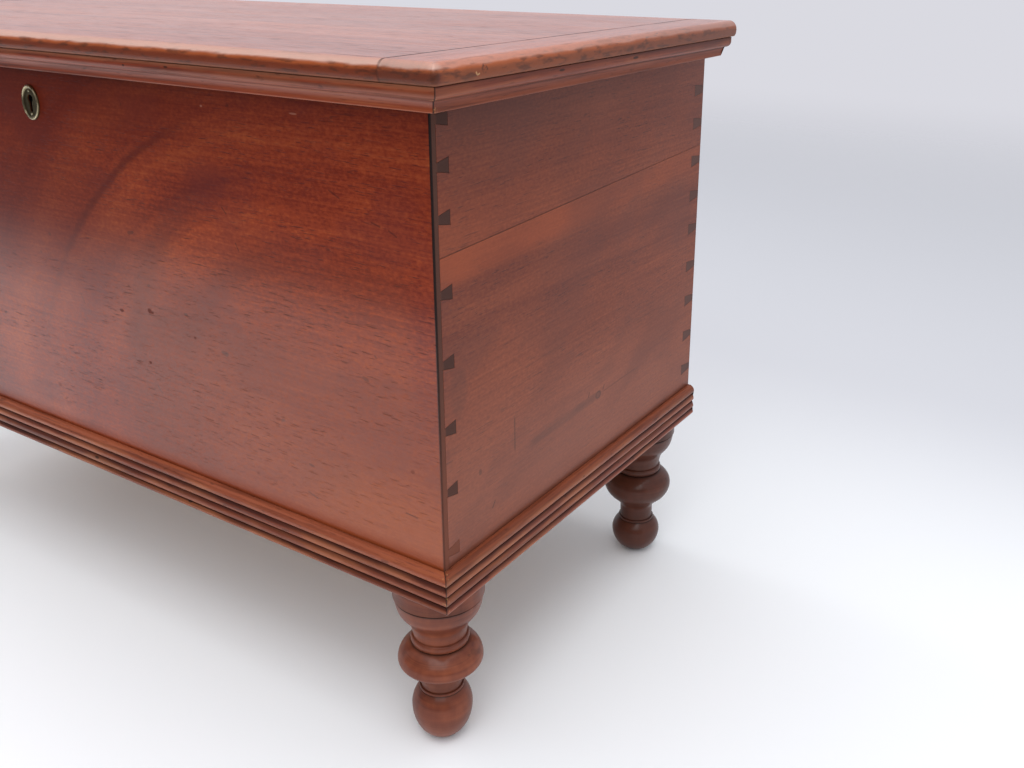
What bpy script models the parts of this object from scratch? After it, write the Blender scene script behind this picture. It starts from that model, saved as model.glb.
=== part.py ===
"""A blanket chest: a dovetailed case on a reeded base and four turned feet, with a moulded lid on two
butt hinges and a half-mortise lock. Metres, +Z up. The origin is on the floor, below the middle of the
chest. +X is the chest's right and -Y its front."""

import math

import bmesh
import bpy
from mathutils import Matrix, Vector

# Fits
FIT = 0.0003  # gap between pieces that touch
SWING_GAP = 0.0010  # lip moulding to the case, so that the lid swings free

# Case
CASE_LENGTH = 0.967
CASE_DEPTH = 0.457
CASE_SHOWING = 0.3755  # height seen between the base moulding and the lip moulding
BOARD = 0.0206  # front, back and end boards
SEAM_FRONT = 0.2635  # glued seam of an end, above the base moulding, at the front
SEAM_BACK = 0.2805  # the same seam at the back
LAP = 0.0065  # front board left over the half-blind tails
PIN_NARROW = 0.0070
PIN_WIDE = 0.0125
FRONT_PINS = (0.014, 0.0685, 0.1225, 0.1785, 0.235, 0.293, 0.332, 0.3665)  # above the base moulding
BACK_PINS = (0.0245, 0.0655, 0.1075, 0.1475, 0.190, 0.227, 0.265, 0.305, 0.3395)
BOTTOM_RISE = 0.032  # underside of the bottom above the lower edge of the case
BOTTOM_BOARD = 0.016
GROOVE = 0.007  # depth of the groove that takes the bottom
BLOCK_SIDE = 0.070

# Base moulding
BASE_HEIGHT = 0.036
BASE_OUT = 0.0080  # how far the reeds stand out
BASE_VALLEY = 0.0036  # how far the valleys between the reeds stand out
BASE_LOW_REED = 0.0074
BASE_TOP_REED = 0.0102
BASE_TOP_WIDEST = 0.0036  # widest line of the top reed above its lower edge
BASE_TOP_LEDGE = 0.0015
REED_FULLEST = 0.36  # widest line of the other reeds, as a share of their height
MIDDLE_REEDS = 2

# Feet
FOOT_HEIGHT = 0.1715
FOOT_INSET_X = 0.0408  # axis from the end face
FOOT_INSET_Y = 0.0412  # axis from the front or back face
COLLAR_RADIUS = 0.0412
NECK_RADIUS = 0.0244
RING_RADIUS = 0.0267
BULB_RADIUS = 0.0389
WAIST_RADIUS = 0.0189
BEAD_RADIUS = 0.0206
BEAD_HEIGHT = 0.0030
BALL_RADIUS = 0.0279
SOLE_RADIUS = 0.0080
TENON_RADIUS = 0.0140
TENON_LENGTH = 0.0260
QUIRK = 0.0008  # fine groove or edge between turned members
BULB_TURN = 40  # degrees of the bulb's round below its widest line

# Depths of a front foot's turnings below its top
FRONT_COLLAR = 0.0200  # groove under the collar
FRONT_NECK = 0.0613  # foot of the neck
FRONT_RING = 0.0692  # foot of the ring
FRONT_BULB = 0.0867  # widest line of the bulb
FRONT_BULB_UNDER = 0.0125  # half height of the ellipse under that line
FRONT_WAIST = 0.1010  # where the waist turns straight
FRONT_BEAD = 0.1158  # top of the bead
FRONT_BALL = 0.1382  # widest line of the ball

# The same for a back foot, which has a longer waist
BACK_COLLAR = 0.0157
BACK_NECK = 0.0575
BACK_RING = 0.0651
BACK_BULB = 0.0816
BACK_BULB_UNDER = 0.0280
BACK_WAIST = 0.1134
BACK_BEAD = 0.1266
BACK_BALL = 0.1452

# Shared by all the feet
HOLLOW_EASE = 0.55  # share of the S curve in a foot's hollows, the rest is straight
FOOT_FACETS = 18

# Lid
LID_THICKNESS = 0.0155
LID_OVERHANG = 0.0334  # nose of the lid beyond the case, at the front and the ends
NOSE_DEPTH = 0.0080  # how far back the round of the nose starts on top
NOSE_TUCK = 0.0028  # how far the nose turns in again below
NOSE_LOW = 0.0065  # height of the nose's widest line above the lid's underside
CAP_WIDTH = 0.050  # breadboard cap, from the nose to its seam
TONGUE_LENGTH = 0.010
TONGUE_THICKNESS = 0.005
TONGUE_STOP = 0.030  # the tongue stops this far short of the lid's back edge

# Lip moulding
LIP_HEIGHT = 0.0195
LIP_OUT = 0.0310
LIP_BAND = 0.0045  # upright band at the top
LIP_ROUND_OUT = 0.0250  # inner end of the round
LIP_STEP_OUT = 0.0234
LIP_STEP_UP = 0.0092  # height of the small step
LIP_FOOT_OUT = 0.0206
LIP_HOLLOW = 0.0006  # dip of the face below the step
LIP_SHORT = 0.006  # the end strips stop this far short of the back

# Hinges
HINGE_LENGTH = 0.064
HINGE_INSET = 0.190  # end of the case to the middle of the hinge
LEAF_WIDTH = 0.018
LEAF_THICKNESS = 0.0022
KNUCKLE_RADIUS = 0.0035
HINGE_PIN_RADIUS = 0.0015
HINGE_PIN_HEAD = 0.0022
HINGE_HEAD_LENGTH = 0.0014
SCREW_PITCH = 0.022
KNUCKLES = 5
HINGE_FACETS = 16

# Wood screws
SCREW_HEAD = 0.0032
SCREW_SINK = 0.0019
SCREW_SHANK = 0.0015
SCREW_LENGTH = 0.0120
SCREW_POINT = 0.0030
SCREW_SLOT = 0.0009
SLOT_DEPTH = 0.0008

# Lock
KEY_DROP = 0.050  # top of the case to the middle of the keyhole's round
LOCK_LENGTH = 0.092
LOCK_HEIGHT = 0.072
LOCK_PLATE = 0.0020
LOCK_DEPTH = 0.0130
CAP_LENGTH = 0.076
CAP_HEIGHT = 0.066
CAP_WALL = 0.0015
LOCK_SCREW_EDGE = 0.0040  # screw centre from the edge of the plate
KEY_PIN_RADIUS = 0.0016
BOLT_THROW = 0.009
BOLT_THICKNESS = 0.0030
BOLT_STAND = 0.0050  # face of the lock plate's outside to the bolt
FINGER_HEIGHT = 0.0036
FINGER_GAP = 0.0010  # end of a finger to its loop, with the bolt drawn back
BOLT_POST = 0.0040
BOLT_BAR = 0.0070
BOLT_ARM = 0.0150
TALON_WIDTH = 0.0050
TALON_DEPTH = 0.0040
KEY_SWEEP = 0.0125  # radius that the key's bit reaches
STUD_RADIUS = 0.0015
SPRING_THICKNESS = 0.0008
SPRING_WIDTH = 0.0050

# Keeper on the lid
KEEPER_LENGTH = 0.064
KEEPER_WIDTH = 0.0110
KEEPER_PLATE = 0.0020
LOOP_PITCH = 0.032
LOOP_THICKNESS = 0.0030
LOOP_WIDTH = 0.0072
LOOP_DROP = 0.0140
LOOP_HOLE_WIDTH = 0.0044
LOOP_HOLE_HEIGHT = 0.0056
LOOP_HOLE_TOP = 0.0060  # top of the hole below the lid
LOOP_GAP = 0.0009  # loop to the edge of its slot
KEEPER_SCREW_PITCH = 0.052

# Escutcheon
OVAL_HEIGHT = 0.0335
OVAL_WIDTH = 0.0254
OVAL_RISE = 0.0022
OVAL_FIELD = 0.0009
OVAL_RIM = 0.0028
OVAL_HOLLOW = 0.0042  # edge of the oval to the flat of its field
OVAL_FACETS = 28
KEYHOLE_RADIUS = 0.0040
KEYHOLE_SLOT = 0.0046
KEYHOLE_DROP = 0.0125  # middle of the round to the foot of the slot
KEYHOLE_RAISE = 0.0035  # middle of the oval to the middle of the round
OVAL_PIN_RISE = 0.0110  # pins above and below the middle of the oval
OVAL_PIN_HEAD = 0.0012
OVAL_PIN_DOME = 0.0007
OVAL_PIN_SHANK = 0.0006
OVAL_PIN_LENGTH = 0.0070

# Levels and planes
X_END = CASE_LENGTH / 2
Y_FRONT = (LID_OVERHANG - CASE_DEPTH - 2 * KNUCKLE_RADIUS - FIT) / 2
Y_BACK = Y_FRONT + CASE_DEPTH
Y_FRONT_IN = Y_FRONT + BOARD
Y_BACK_IN = Y_BACK - BOARD
Z_CASE = FOOT_HEIGHT
Z_BASE_TOP = Z_CASE + BASE_HEIGHT
Z_LIP = Z_BASE_TOP + CASE_SHOWING
Z_LID = Z_LIP + LIP_HEIGHT
Z_RIM = Z_LID - FIT
Z_BOTTOM = Z_CASE + BOTTOM_RISE
Y_AXIS = Y_BACK + FIT + KNUCKLE_RADIUS
Z_AXIS = Z_LID - FIT / 2
Z_KEY = Z_RIM - KEY_DROP
SIDES = (("right", 1), ("left", -1))
BEYOND = 0.010  # how far a cutter runs past the wall that it cuts
SAME_POINT = 1e-5  # points nearer than this are one
STRAIGHT = 1e-12  # twice the area below which three points lie in one line
ROUND_FACETS = 20
SMALL_FACETS = 12  # screws and small pins

# Plain finishes: linear red, green and blue, then roughness and metal
FRONT_RED = (0.230, 0.052, 0.022, 0.25, 0.0)
END_RED = (0.165, 0.048, 0.030, 0.30, 0.0)
LID_RED = (0.300, 0.090, 0.045, 0.24, 0.0)
FOOT_RED = (0.180, 0.050, 0.026, 0.32, 0.0)
RAW_WOOD = (0.420, 0.260, 0.130, 0.72, 0.0)
OLD_BRASS = (0.330, 0.255, 0.120, 0.35, 1.0)
OLD_IRON = (0.070, 0.064, 0.058, 0.48, 1.0)

for old in list(bpy.data.objects):
    bpy.data.objects.remove(old, do_unlink=True)


def new_collection(name):
    made = bpy.data.collections.new(name)
    bpy.context.scene.collection.children.link(made)
    return made


CHEST = new_collection("blanket_chest")
CUTTERS = new_collection("cutters")
CUTTERS.hide_render = True


def finish(obj, look, rides_on=None):
    """Gives a piece its own material and, on a moving piece, the empty that it turns or slides with."""
    made = bpy.data.materials.new(obj.name)
    made.use_nodes = True
    shader = made.node_tree.nodes["Principled BSDF"]
    *colour, roughness, metallic = look
    shader.inputs["Base Color"].default_value = (*colour, 1.0)
    shader.inputs["Roughness"].default_value = roughness
    shader.inputs["Metallic"].default_value = metallic
    obj.data.materials.clear()
    obj.data.materials.append(made)
    if rides_on:
        obj.parent = rides_on
        obj.matrix_parent_inverse = Matrix.Translation(rides_on.location).inverted()
    return obj


def as_cutter(obj):
    CHEST.objects.unlink(obj)
    CUTTERS.objects.link(obj)
    obj.hide_render = True
    obj.display_type = "WIRE"
    return obj


def empty(name, location):
    made = bpy.data.objects.new(name, None)
    made.location = location
    CHEST.objects.link(made)
    return made


def mesh_object(name, shape, matrix=None):
    data = bpy.data.meshes.new(name)
    shape.to_mesh(data)
    shape.free()
    made = bpy.data.objects.new(name, data)
    if matrix:
        made.matrix_world = matrix
    CHEST.objects.link(made)
    return made


def box(name, low, high):
    """A block between two corners, with its origin in its middle."""
    low, high = Vector(low), Vector(high)
    shape = bmesh.new()
    bmesh.ops.create_cube(shape, size=1.0, matrix=Matrix.Diagonal((*(high - low), 1.0)))
    return mesh_object(name, shape, Matrix.Translation((low + high) / 2))


def grown(low, high, by):
    """The two corners of a block that is larger by the same amount all round."""
    return [v - by for v in low], [v + by for v in high]


OUTLINE_PLANES = {
    "X": Matrix(((0, 0, 1, 0), (1, 0, 0, 0), (0, 1, 0, 0), (0, 0, 0, 1))),
    "Y": Matrix(((1, 0, 0, 0), (0, 0, -1, 0), (0, 1, 0, 0), (0, 0, 0, 1))),
    "Z": Matrix.Identity(4),
}


def corners(points):
    """An outline without the points that repeat the one before or lie on a straight run."""
    pairs = zip(points, [*points[1:], points[0]])
    apart = [p for p, after in pairs if math.dist(p, after) > SAME_POINT]
    found = []
    for before, p, after in zip([apart[-1], *apart], apart, [*apart[1:], apart[0]]):
        turn = (p[0] - before[0]) * (after[1] - p[1]) - (p[1] - before[1]) * (after[0] - p[0])
        if abs(turn) > STRAIGHT:
            found.append(p)
    return found


def prism(name, outline, along, low, high):
    """A flat outline carried along an axis: (y, z) points along X, (x, z) along Y or (x, y) along Z."""
    points = corners(outline)
    curve = bpy.data.curves.new(name, "CURVE")
    curve.dimensions = "2D"
    curve.fill_mode = "BOTH"
    curve.extrude = (high - low) / 2
    spline = curve.splines.new("POLY")
    spline.points.add(len(points) - 1)
    for point, (u, v) in zip(spline.points, points):
        point.co = (u, v, 0.0, 1.0)
    spline.use_cyclic_u = True
    drawn = bpy.data.objects.new(name + "_outline", curve)
    CHEST.objects.link(drawn)
    middle = Vector([(low + high) / 2 if axis == along else 0.0 for axis in "XYZ"])
    drawn.matrix_world = Matrix.Translation(middle) @ OUTLINE_PLANES[along]
    bpy.context.view_layer.update()
    flat = drawn.evaluated_get(bpy.context.evaluated_depsgraph_get())
    data = bpy.data.meshes.new_from_object(flat)
    shape = bmesh.new()
    shape.from_mesh(data)
    bpy.data.meshes.remove(data)
    bmesh.ops.remove_doubles(shape, verts=shape.verts, dist=SAME_POINT)
    made = mesh_object(name, shape, drawn.matrix_world.copy())
    bpy.data.objects.remove(drawn, do_unlink=True)
    return made


def turned(name, profile, facets, location=(0, 0, 0), turn_x=0.0, squeeze=1.0):
    """A profile of (radius, height) points, from the top down, turned round the piece's own Z."""
    shape = bmesh.new()
    points = [shape.verts.new((radius, 0.0, height)) for radius, height in profile]
    for upper, lower in zip(points, points[1:]):
        shape.edges.new((upper, lower))
    made = mesh_object(name, shape)
    lathe = made.modifiers.new("turn", "SCREW")
    lathe.steps = lathe.render_steps = facets
    lathe.use_merge_vertices = True
    lathe.merge_threshold = SAME_POINT
    made.location = location
    made.rotation_euler = (turn_x, 0.0, 0.0)
    made.scale = (squeeze, 1.0, 1.0)
    return made


def rod(name, radius, start, end, facets=ROUND_FACETS):
    """A round bar between two points."""
    start, end = Vector(start), Vector(end)
    run = end - start
    shape = bmesh.new()
    size = {"radius1": radius, "radius2": radius, "depth": run.length}
    bmesh.ops.create_cone(shape, cap_ends=True, segments=facets, **size)
    turn = run.to_track_quat("Z", "Y").to_matrix().to_4x4()
    return mesh_object(name, shape, Matrix.Translation((start + end) / 2) @ turn)


def arc(centre, radii, start, stop, steps):
    """Points on an ellipse, from one angle to another in degrees."""
    found = []
    for step in range(steps + 1):
        angle = math.radians(start + (stop - start) * step / steps)
        found.append((centre[0] + radii[0] * math.cos(angle), centre[1] + radii[1] * math.sin(angle)))
    return found


def sweep(start, end, steps, ease=3):
    """Points of an S curve between two turned diameters: radius eases from one end to the other."""
    found = []
    for step in range(1, steps):
        t = step / steps
        s = t**ease / (t**ease + (1 - t) ** ease)
        eased = HOLLOW_EASE * s + (1 - HOLLOW_EASE) * t
        found.append((start[0] + (end[0] - start[0]) * eased, start[1] + (end[1] - start[1]) * t))
    return found


def combine(obj, operation, *others):
    for other in others:
        modifier = obj.modifiers.new(f"{operation.lower()}_{other.name}", "BOOLEAN")
        modifier.operation = operation
        modifier.solver = "EXACT"
        modifier.object = other


def cut(obj, *others):
    combine(obj, "DIFFERENCE", *others)


def join(obj, *others):
    combine(obj, "UNION", *others)


# Empties on the axes of the moving bodies
LID_AXIS = empty("lid_axis", (0.0, Y_AXIS, Z_AXIS))
BOLT_AXIS = empty("bolt_axis", (0.0, Y_FRONT_IN - BOLT_STAND, Z_KEY))


# Case boards and their dovetails
def clear_pins(heights, seam):
    """Levels of the pins that leave room for the seam of the end and for the upper edge of the case."""
    clear = [h for h in heights if abs(h - seam) > PIN_WIDE and h < CASE_SHOWING + LIP_HEIGHT - PIN_WIDE]
    return [Z_BASE_TOP + h for h in clear]


FRONT_PIN_LEVELS = clear_pins(FRONT_PINS, SEAM_FRONT)
BACK_PIN_LEVELS = clear_pins(BACK_PINS, SEAM_BACK)


def tail_edge(tip, root, pins, low, high, grow):
    """An edge of an end board, from low to high, with a notch for each pin between these levels.
    grow lengthens and widens the tails between the notches."""
    length = abs(tip - root)
    taper = (PIN_WIDE - PIN_NARROW) / 2 / length
    narrow, wide = PIN_NARROW / 2 - taper * grow - grow, PIN_WIDE / 2 - grow
    tip += math.copysign(grow, tip - root)
    found = [(tip, low)]
    for middle in sorted(pins):
        if low < middle < high:
            found += [(tip, middle - narrow), (root, middle - wide)]
            found += [(root, middle + wide), (tip, middle + narrow)]
    return found + [(tip, high)]


def end_outline(low, high, grow=0.0):
    """An end board from the side. low and high are its (front, back) levels. grow enlarges the tails."""
    front = tail_edge(Y_FRONT + LAP + FIT, Y_FRONT_IN + FIT, FRONT_PIN_LEVELS, low[0], high[0], grow)
    back = tail_edge(Y_BACK, Y_BACK_IN - FIT, BACK_PIN_LEVELS, low[1], high[1], grow)
    return front + back[::-1]


def end_boards(side, sign):
    seam = (Z_BASE_TOP + SEAM_FRONT, Z_BASE_TOP + SEAM_BACK)
    above = (seam[0] + FIT, seam[1] + FIT)
    inner, outer = sorted((sign * (X_END - BOARD), sign * X_END))
    lower = prism(f"{side}_end_lower_board", end_outline((Z_CASE, Z_CASE), seam), "X", inner, outer)
    upper = prism(f"{side}_end_upper_board", end_outline(above, (Z_RIM, Z_RIM)), "X", inner, outer)
    for board in (lower, upper):
        finish(board, END_RED)


def socket_cutter(side, sign):
    """The tails of one end, a little larger, for cutting the sockets of the front and back boards."""
    past = (Z_CASE - BEYOND,) * 2, (Z_RIM + BEYOND,) * 2
    inner, outer = sorted((sign * (X_END - BOARD - FIT), sign * (X_END + BEYOND)))
    return as_cutter(prism(f"{side}_sockets", end_outline(*past, grow=FIT), "X", inner, outer))


def bottom_groove(name, low_y, high_y):
    reach = X_END - BOARD
    low, high = (-reach, low_y, Z_BOTTOM - FIT), (reach, high_y, Z_BOTTOM + BOTTOM_BOARD + FIT)
    return as_cutter(box(name, low, high))


for side, sign in SIDES:
    end_boards(side, sign)
SOCKETS = [socket_cutter(side, sign) for side, sign in SIDES]

front_board = box("front_board", (-X_END, Y_FRONT, Z_CASE), (X_END, Y_FRONT_IN, Z_RIM))
back_board = box("back_board", (-X_END, Y_BACK_IN, Z_CASE), (X_END, Y_BACK, Z_RIM))
finish(front_board, FRONT_RED)
finish(back_board, END_RED)
cut(front_board, *SOCKETS, bottom_groove("front_groove", Y_FRONT_IN - GROOVE, Y_FRONT_IN + BEYOND))
cut(back_board, *SOCKETS, bottom_groove("back_groove", Y_BACK_IN - BEYOND, Y_BACK_IN + GROOVE))

# Bottom boards
bottom_reach = X_END - BOARD - FIT
y_middle = (Y_FRONT + Y_BACK) / 2
for name, low_y, high_y in (
    ("bottom_board_front", Y_FRONT_IN - GROOVE + FIT, y_middle - FIT / 2),
    ("bottom_board_back", y_middle + FIT / 2, Y_BACK_IN + GROOVE - FIT),
):
    low, high = (-bottom_reach, low_y, Z_BOTTOM), (bottom_reach, high_y, Z_BOTTOM + BOTTOM_BOARD)
    finish(box(name, low, high), RAW_WOOD)


# Feet and the corner blocks that take their tenons
def cove(start, slope, end, steps):
    """Points of a hollow that leaves start at the given fall of radius with depth and ends upright."""
    bend = (end[0], start[1] - (start[0] - end[0]) / slope)
    found = []
    for step in range(1, steps):
        t = step / steps
        weights = (1 - t) ** 2, 2 * t * (1 - t), t**2
        found.append(tuple(sum(w * p[i] for w, p in zip(weights, (start, bend, end))) for i in (0, 1)))
    return found


def round_height(wide, narrow, rise):
    """Half height of an ellipse of radius wide that narrows to another radius over a given rise."""
    return rise / math.sqrt(1 - (narrow / wide) ** 2)


def foot_profile(collar, neck, ring, bulb, bulb_under, waist, bead, ball):
    """Radius and height of a foot from its tenon down, with heights below the foot's top."""
    sole = FOOT_HEIGHT - FIT
    bead_foot = bead + BEAD_HEIGHT
    bulb_top, ball_top = RING_RADIUS - QUIRK, BEAD_RADIUS - QUIRK
    bulb_radii = (BULB_RADIUS, round_height(BULB_RADIUS, bulb_top, bulb - ring))
    upper_ball = (BALL_RADIUS, round_height(BALL_RADIUS, ball_top, ball - bead_foot))
    lower_ball = (BALL_RADIUS, round_height(BALL_RADIUS, SOLE_RADIUS, sole - ball))
    bulb_start = math.degrees(math.acos(bulb_top / BULB_RADIUS))
    ball_start = math.degrees(math.acos(ball_top / BALL_RADIUS))
    ball_end = -math.degrees(math.acos(SOLE_RADIUS / BALL_RADIUS))
    shoulder = (COLLAR_RADIUS - QUIRK, -collar - QUIRK)
    neck_foot = (NECK_RADIUS, -neck)
    under_bulb = arc((0.0, -bulb), (BULB_RADIUS, bulb_under), 0, -BULB_TURN, steps=3)
    slope = BULB_RADIUS / bulb_under * math.tan(math.radians(BULB_TURN))
    return [
        (0.0, TENON_LENGTH),
        (TENON_RADIUS, TENON_LENGTH),
        (TENON_RADIUS, 0.0),
        (COLLAR_RADIUS, 0.0),
        (COLLAR_RADIUS, -collar + QUIRK),
        (COLLAR_RADIUS - 2 * QUIRK, -collar),
        shoulder,
        *sweep(shoulder, neck_foot, steps=6),
        neck_foot,
        (RING_RADIUS - QUIRK, -neck - QUIRK),
        (RING_RADIUS, -(neck + ring) / 2),
        (RING_RADIUS, -ring + QUIRK),
        *arc((0.0, -bulb), bulb_radii, bulb_start, 0, steps=5)[:-1],
        *under_bulb,
        *cove(under_bulb[-1], slope, (WAIST_RADIUS, -waist), steps=4),
        (WAIST_RADIUS, -waist),
        (WAIST_RADIUS, -bead),
        (BEAD_RADIUS, -bead - QUIRK),
        (BEAD_RADIUS, -bead_foot + QUIRK),
        *arc((0.0, -ball), upper_ball, ball_start, 0, steps=4)[:-1],
        *arc((0.0, -ball), lower_ball, 0, ball_end, steps=5),
        (0.0, -sole),
    ]


FRONT_TURNING = (
    FRONT_COLLAR,
    FRONT_NECK,
    FRONT_RING,
    FRONT_BULB,
    FRONT_BULB_UNDER,
    FRONT_WAIST,
    FRONT_BEAD,
    FRONT_BALL,
)
BACK_TURNING = (
    BACK_COLLAR,
    BACK_NECK,
    BACK_RING,
    BACK_BULB,
    BACK_BULB_UNDER,
    BACK_WAIST,
    BACK_BEAD,
    BACK_BALL,
)


def foot_and_block(place, x_sign, y_face, y_sign, turning):
    """A foot and its block. y_face is the case's face that it stands by, and y_sign points in from it."""
    axis = Vector((x_sign * (X_END - FOOT_INSET_X), y_face + y_sign * FOOT_INSET_Y, Z_CASE - FIT))
    foot = turned(f"foot_{place}", foot_profile(*turning), FOOT_FACETS, axis)
    foot.data.shade_smooth()
    finish(foot, FOOT_RED)
    corner = Vector((x_sign * (X_END - BOARD - FIT), y_face + y_sign * (BOARD + FIT), Z_CASE))
    inward = Vector((-x_sign * BLOCK_SIDE, y_sign * BLOCK_SIDE, BOTTOM_RISE - FIT))
    far = corner + inward
    block = box(f"corner_block_{place}", list(map(min, corner, far)), list(map(max, corner, far)))
    hole_top = Z_CASE + TENON_LENGTH + FIT
    hole_ends = (axis.x, axis.y, Z_CASE - BEYOND), (axis.x, axis.y, hole_top)
    cut(block, as_cutter(rod(f"tenon_hole_{place}", TENON_RADIUS + 2 * FIT, *hole_ends)))
    finish(block, RAW_WOOD)


for side, sign in SIDES:
    foot_and_block(f"front_{side}", sign, Y_FRONT, 1, FRONT_TURNING)
    foot_and_block(f"back_{side}", sign, Y_BACK, -1, BACK_TURNING)


# Mouldings: a front strip and two end strips, mitred at the front corners
def mitre_cutter(name, sign, keep_front):
    """The far side of the 45 degree plane through a front corner of the case."""
    corner = Vector((sign * X_END, Y_FRONT))
    outward = Vector((sign, -1.0)).normalized()
    across = Vector((sign, 1.0)).normalized() * (1 if keep_front else -1)
    span = 4 * LID_OVERHANG
    near = corner - across * FIT / 2
    ring = (near - outward * span, near + outward * span)
    points = [*ring, ring[1] + across * span, ring[0] + across * span]
    return as_cutter(prism(name, points, "Z", Z_CASE - BEYOND, Z_LID + BEYOND))


def moulding(name, profile, z_low, back_end, look, rides_on=None):
    """Strips with a profile of (out from the case, up) points."""
    reach = max(out for out, up in profile) + BEYOND
    front = prism(
        f"{name}_front",
        [(Y_FRONT - out, z_low + up) for out, up in profile],
        "X",
        -X_END - reach,
        X_END + reach,
    )
    finish(front, look, rides_on)
    for side, sign in SIDES:
        cut(front, mitre_cutter(f"{name}_front_mitre_{side}", sign, True))
        points = [(sign * (X_END + out), z_low + up) for out, up in profile]
        strip = prism(f"{name}_{side}", points, "Y", Y_FRONT - reach, back_end)
        cut(strip, mitre_cutter(f"{name}_{side}_mitre", sign, False))
        finish(strip, look, rides_on)


def base_profile():
    """Reeds that are fullest near their lower edges, under one with a sloping, rounded top."""
    reed = (BASE_HEIGHT - BASE_TOP_REED - BASE_LOW_REED) / MIDDLE_REEDS
    valleys = [0.0] + [BASE_LOW_REED + reed * number for number in range(MIDDLE_REEDS + 1)]
    bulge = BASE_OUT - BASE_VALLEY
    points = [(FIT, 0.0)]
    for low, high in zip(valleys, valleys[1:]):
        widest = low + (high - low) * REED_FULLEST
        points += arc((BASE_VALLEY, widest), (bulge, widest - low), -90, 0, steps=3)[:-1]
        points += arc((BASE_VALLEY, widest), (bulge, high - widest), 0, 90, steps=3)[:-1]
    widest = BASE_HEIGHT - BASE_TOP_REED + BASE_TOP_WIDEST
    points += arc((BASE_VALLEY, widest), (bulge, BASE_TOP_WIDEST), -90, 0, steps=3)[:-1]
    slope = (BASE_OUT - BASE_TOP_LEDGE, BASE_TOP_REED - BASE_TOP_WIDEST)
    points += arc((BASE_TOP_LEDGE, widest), slope, 0, 90, steps=4)
    return points + [(FIT, BASE_HEIGHT)]


def lip_profile():
    """A band over a round, a small step, and a face that slopes in to the lower edge."""
    top = LIP_HEIGHT - FIT
    round_top = LIP_HEIGHT - LIP_BAND
    face_middle = ((LIP_FOOT_OUT + LIP_STEP_OUT) / 2 - LIP_HOLLOW, LIP_STEP_UP / 2)
    points = [(SWING_GAP, 0.0), (LIP_FOOT_OUT, 0.0), face_middle, (LIP_STEP_OUT, LIP_STEP_UP)]
    radii = (LIP_OUT - LIP_ROUND_OUT, round_top - LIP_STEP_UP)
    points += arc((LIP_ROUND_OUT, round_top), radii, -90, 0, steps=5)
    return points + [(LIP_OUT, top), (SWING_GAP, top)]


moulding("base_moulding", base_profile(), Z_CASE, Y_BACK, FRONT_RED)
moulding("lip_moulding", lip_profile(), Z_LIP, Y_BACK - LIP_SHORT, LID_RED, LID_AXIS)


# Lid: a long panel tongued into a breadboard cap at each end
def nose_profile():
    """Edge of the lid as (back from the widest line of the nose, up) points, from the underside up."""
    low = arc((NOSE_TUCK, NOSE_LOW), (NOSE_TUCK, NOSE_LOW), 270, 180, steps=4)
    high = arc((NOSE_DEPTH, NOSE_LOW), (NOSE_DEPTH, LID_THICKNESS - NOSE_LOW), 180, 90, steps=7)
    return low + high[1:]


def lid_section():
    """The lid from front to back."""
    nose = [(Y_FRONT - LID_OVERHANG + back, Z_LID + up) for back, up in nose_profile()]
    return nose + [(Y_BACK, Z_LID + LID_THICKNESS), (Y_BACK, Z_LID)]


X_NOSE = X_END + LID_OVERHANG
X_SEAM = X_NOSE - CAP_WIDTH
tongue_low = Z_LID + (LID_THICKNESS - TONGUE_THICKNESS) / 2

lid_panel = prism("lid_panel", lid_section(), "X", -X_SEAM, X_SEAM)
finish(lid_panel, LID_RED, LID_AXIS)
for side, sign in SIDES:
    inner, outer = sorted((sign * (X_SEAM - TONGUE_LENGTH), sign * (X_SEAM + TONGUE_LENGTH)))
    low = (inner, Y_FRONT, tongue_low)
    high = (outer, Y_BACK - TONGUE_STOP, tongue_low + TONGUE_THICKNESS)
    join(lid_panel, as_cutter(box(f"tongue_{side}", low, high)))
    nose = [(sign * (X_NOSE - back), Z_LID + up) for back, up in nose_profile()]
    x_inner = sign * (X_SEAM + FIT)
    section = nose + [(x_inner, Z_LID + LID_THICKNESS), (x_inner, Z_LID)]
    cap = prism(f"lid_end_cap_{side}", section, "Y", Y_FRONT - LID_OVERHANG - BEYOND, Y_BACK)
    finish(cap, LID_RED, LID_AXIS)
    across = sorted((sign * (X_SEAM - BEYOND), sign * (X_NOSE + BEYOND)))
    combine(cap, "INTERSECT", as_cutter(prism(f"cap_front_{side}", lid_section(), "X", *across)))
    cut(cap, as_cutter(box(f"cap_groove_{side}", *grown(low, high, FIT))))


# Wood screws
def screw_profile(grow=0.0):
    """A countersunk wood screw, head up. grow turns it into the hole that takes it."""
    return [
        (0.0, BEYOND if grow else 0.0),
        *([(SCREW_HEAD + grow, BEYOND)] if grow else []),
        (SCREW_HEAD + grow, 0.0),
        (SCREW_SHANK + grow, -SCREW_SINK - grow),
        (SCREW_SHANK + grow, -SCREW_LENGTH + SCREW_POINT),
        (0.0, -SCREW_LENGTH - 2 * grow),
    ]


def screw(name, location, turn_x, held, rides_on=None):
    """A slotted screw, with its hole cut in each of the pieces that it holds."""
    made = turned(name, screw_profile(), SMALL_FACETS, location, turn_x)
    half_slot = Vector((SCREW_HEAD + BEYOND, SCREW_SLOT / 2, SLOT_DEPTH))
    slot = as_cutter(box(f"{name}_slot", -half_slot, half_slot))
    slot.location = location
    slot.rotation_euler = (turn_x, 0.0, 0.0)
    cut(made, slot)
    finish(made, OLD_IRON, rides_on)
    hole = as_cutter(turned(f"{name}_hole", screw_profile(FIT), SMALL_FACETS, location, turn_x))
    for piece in held:
        cut(piece, hole)


HEAD_UP, HEAD_DOWN, HEAD_INSIDE, HEAD_OUTSIDE = 0.0, math.pi, -math.pi / 2, math.pi / 2


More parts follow.
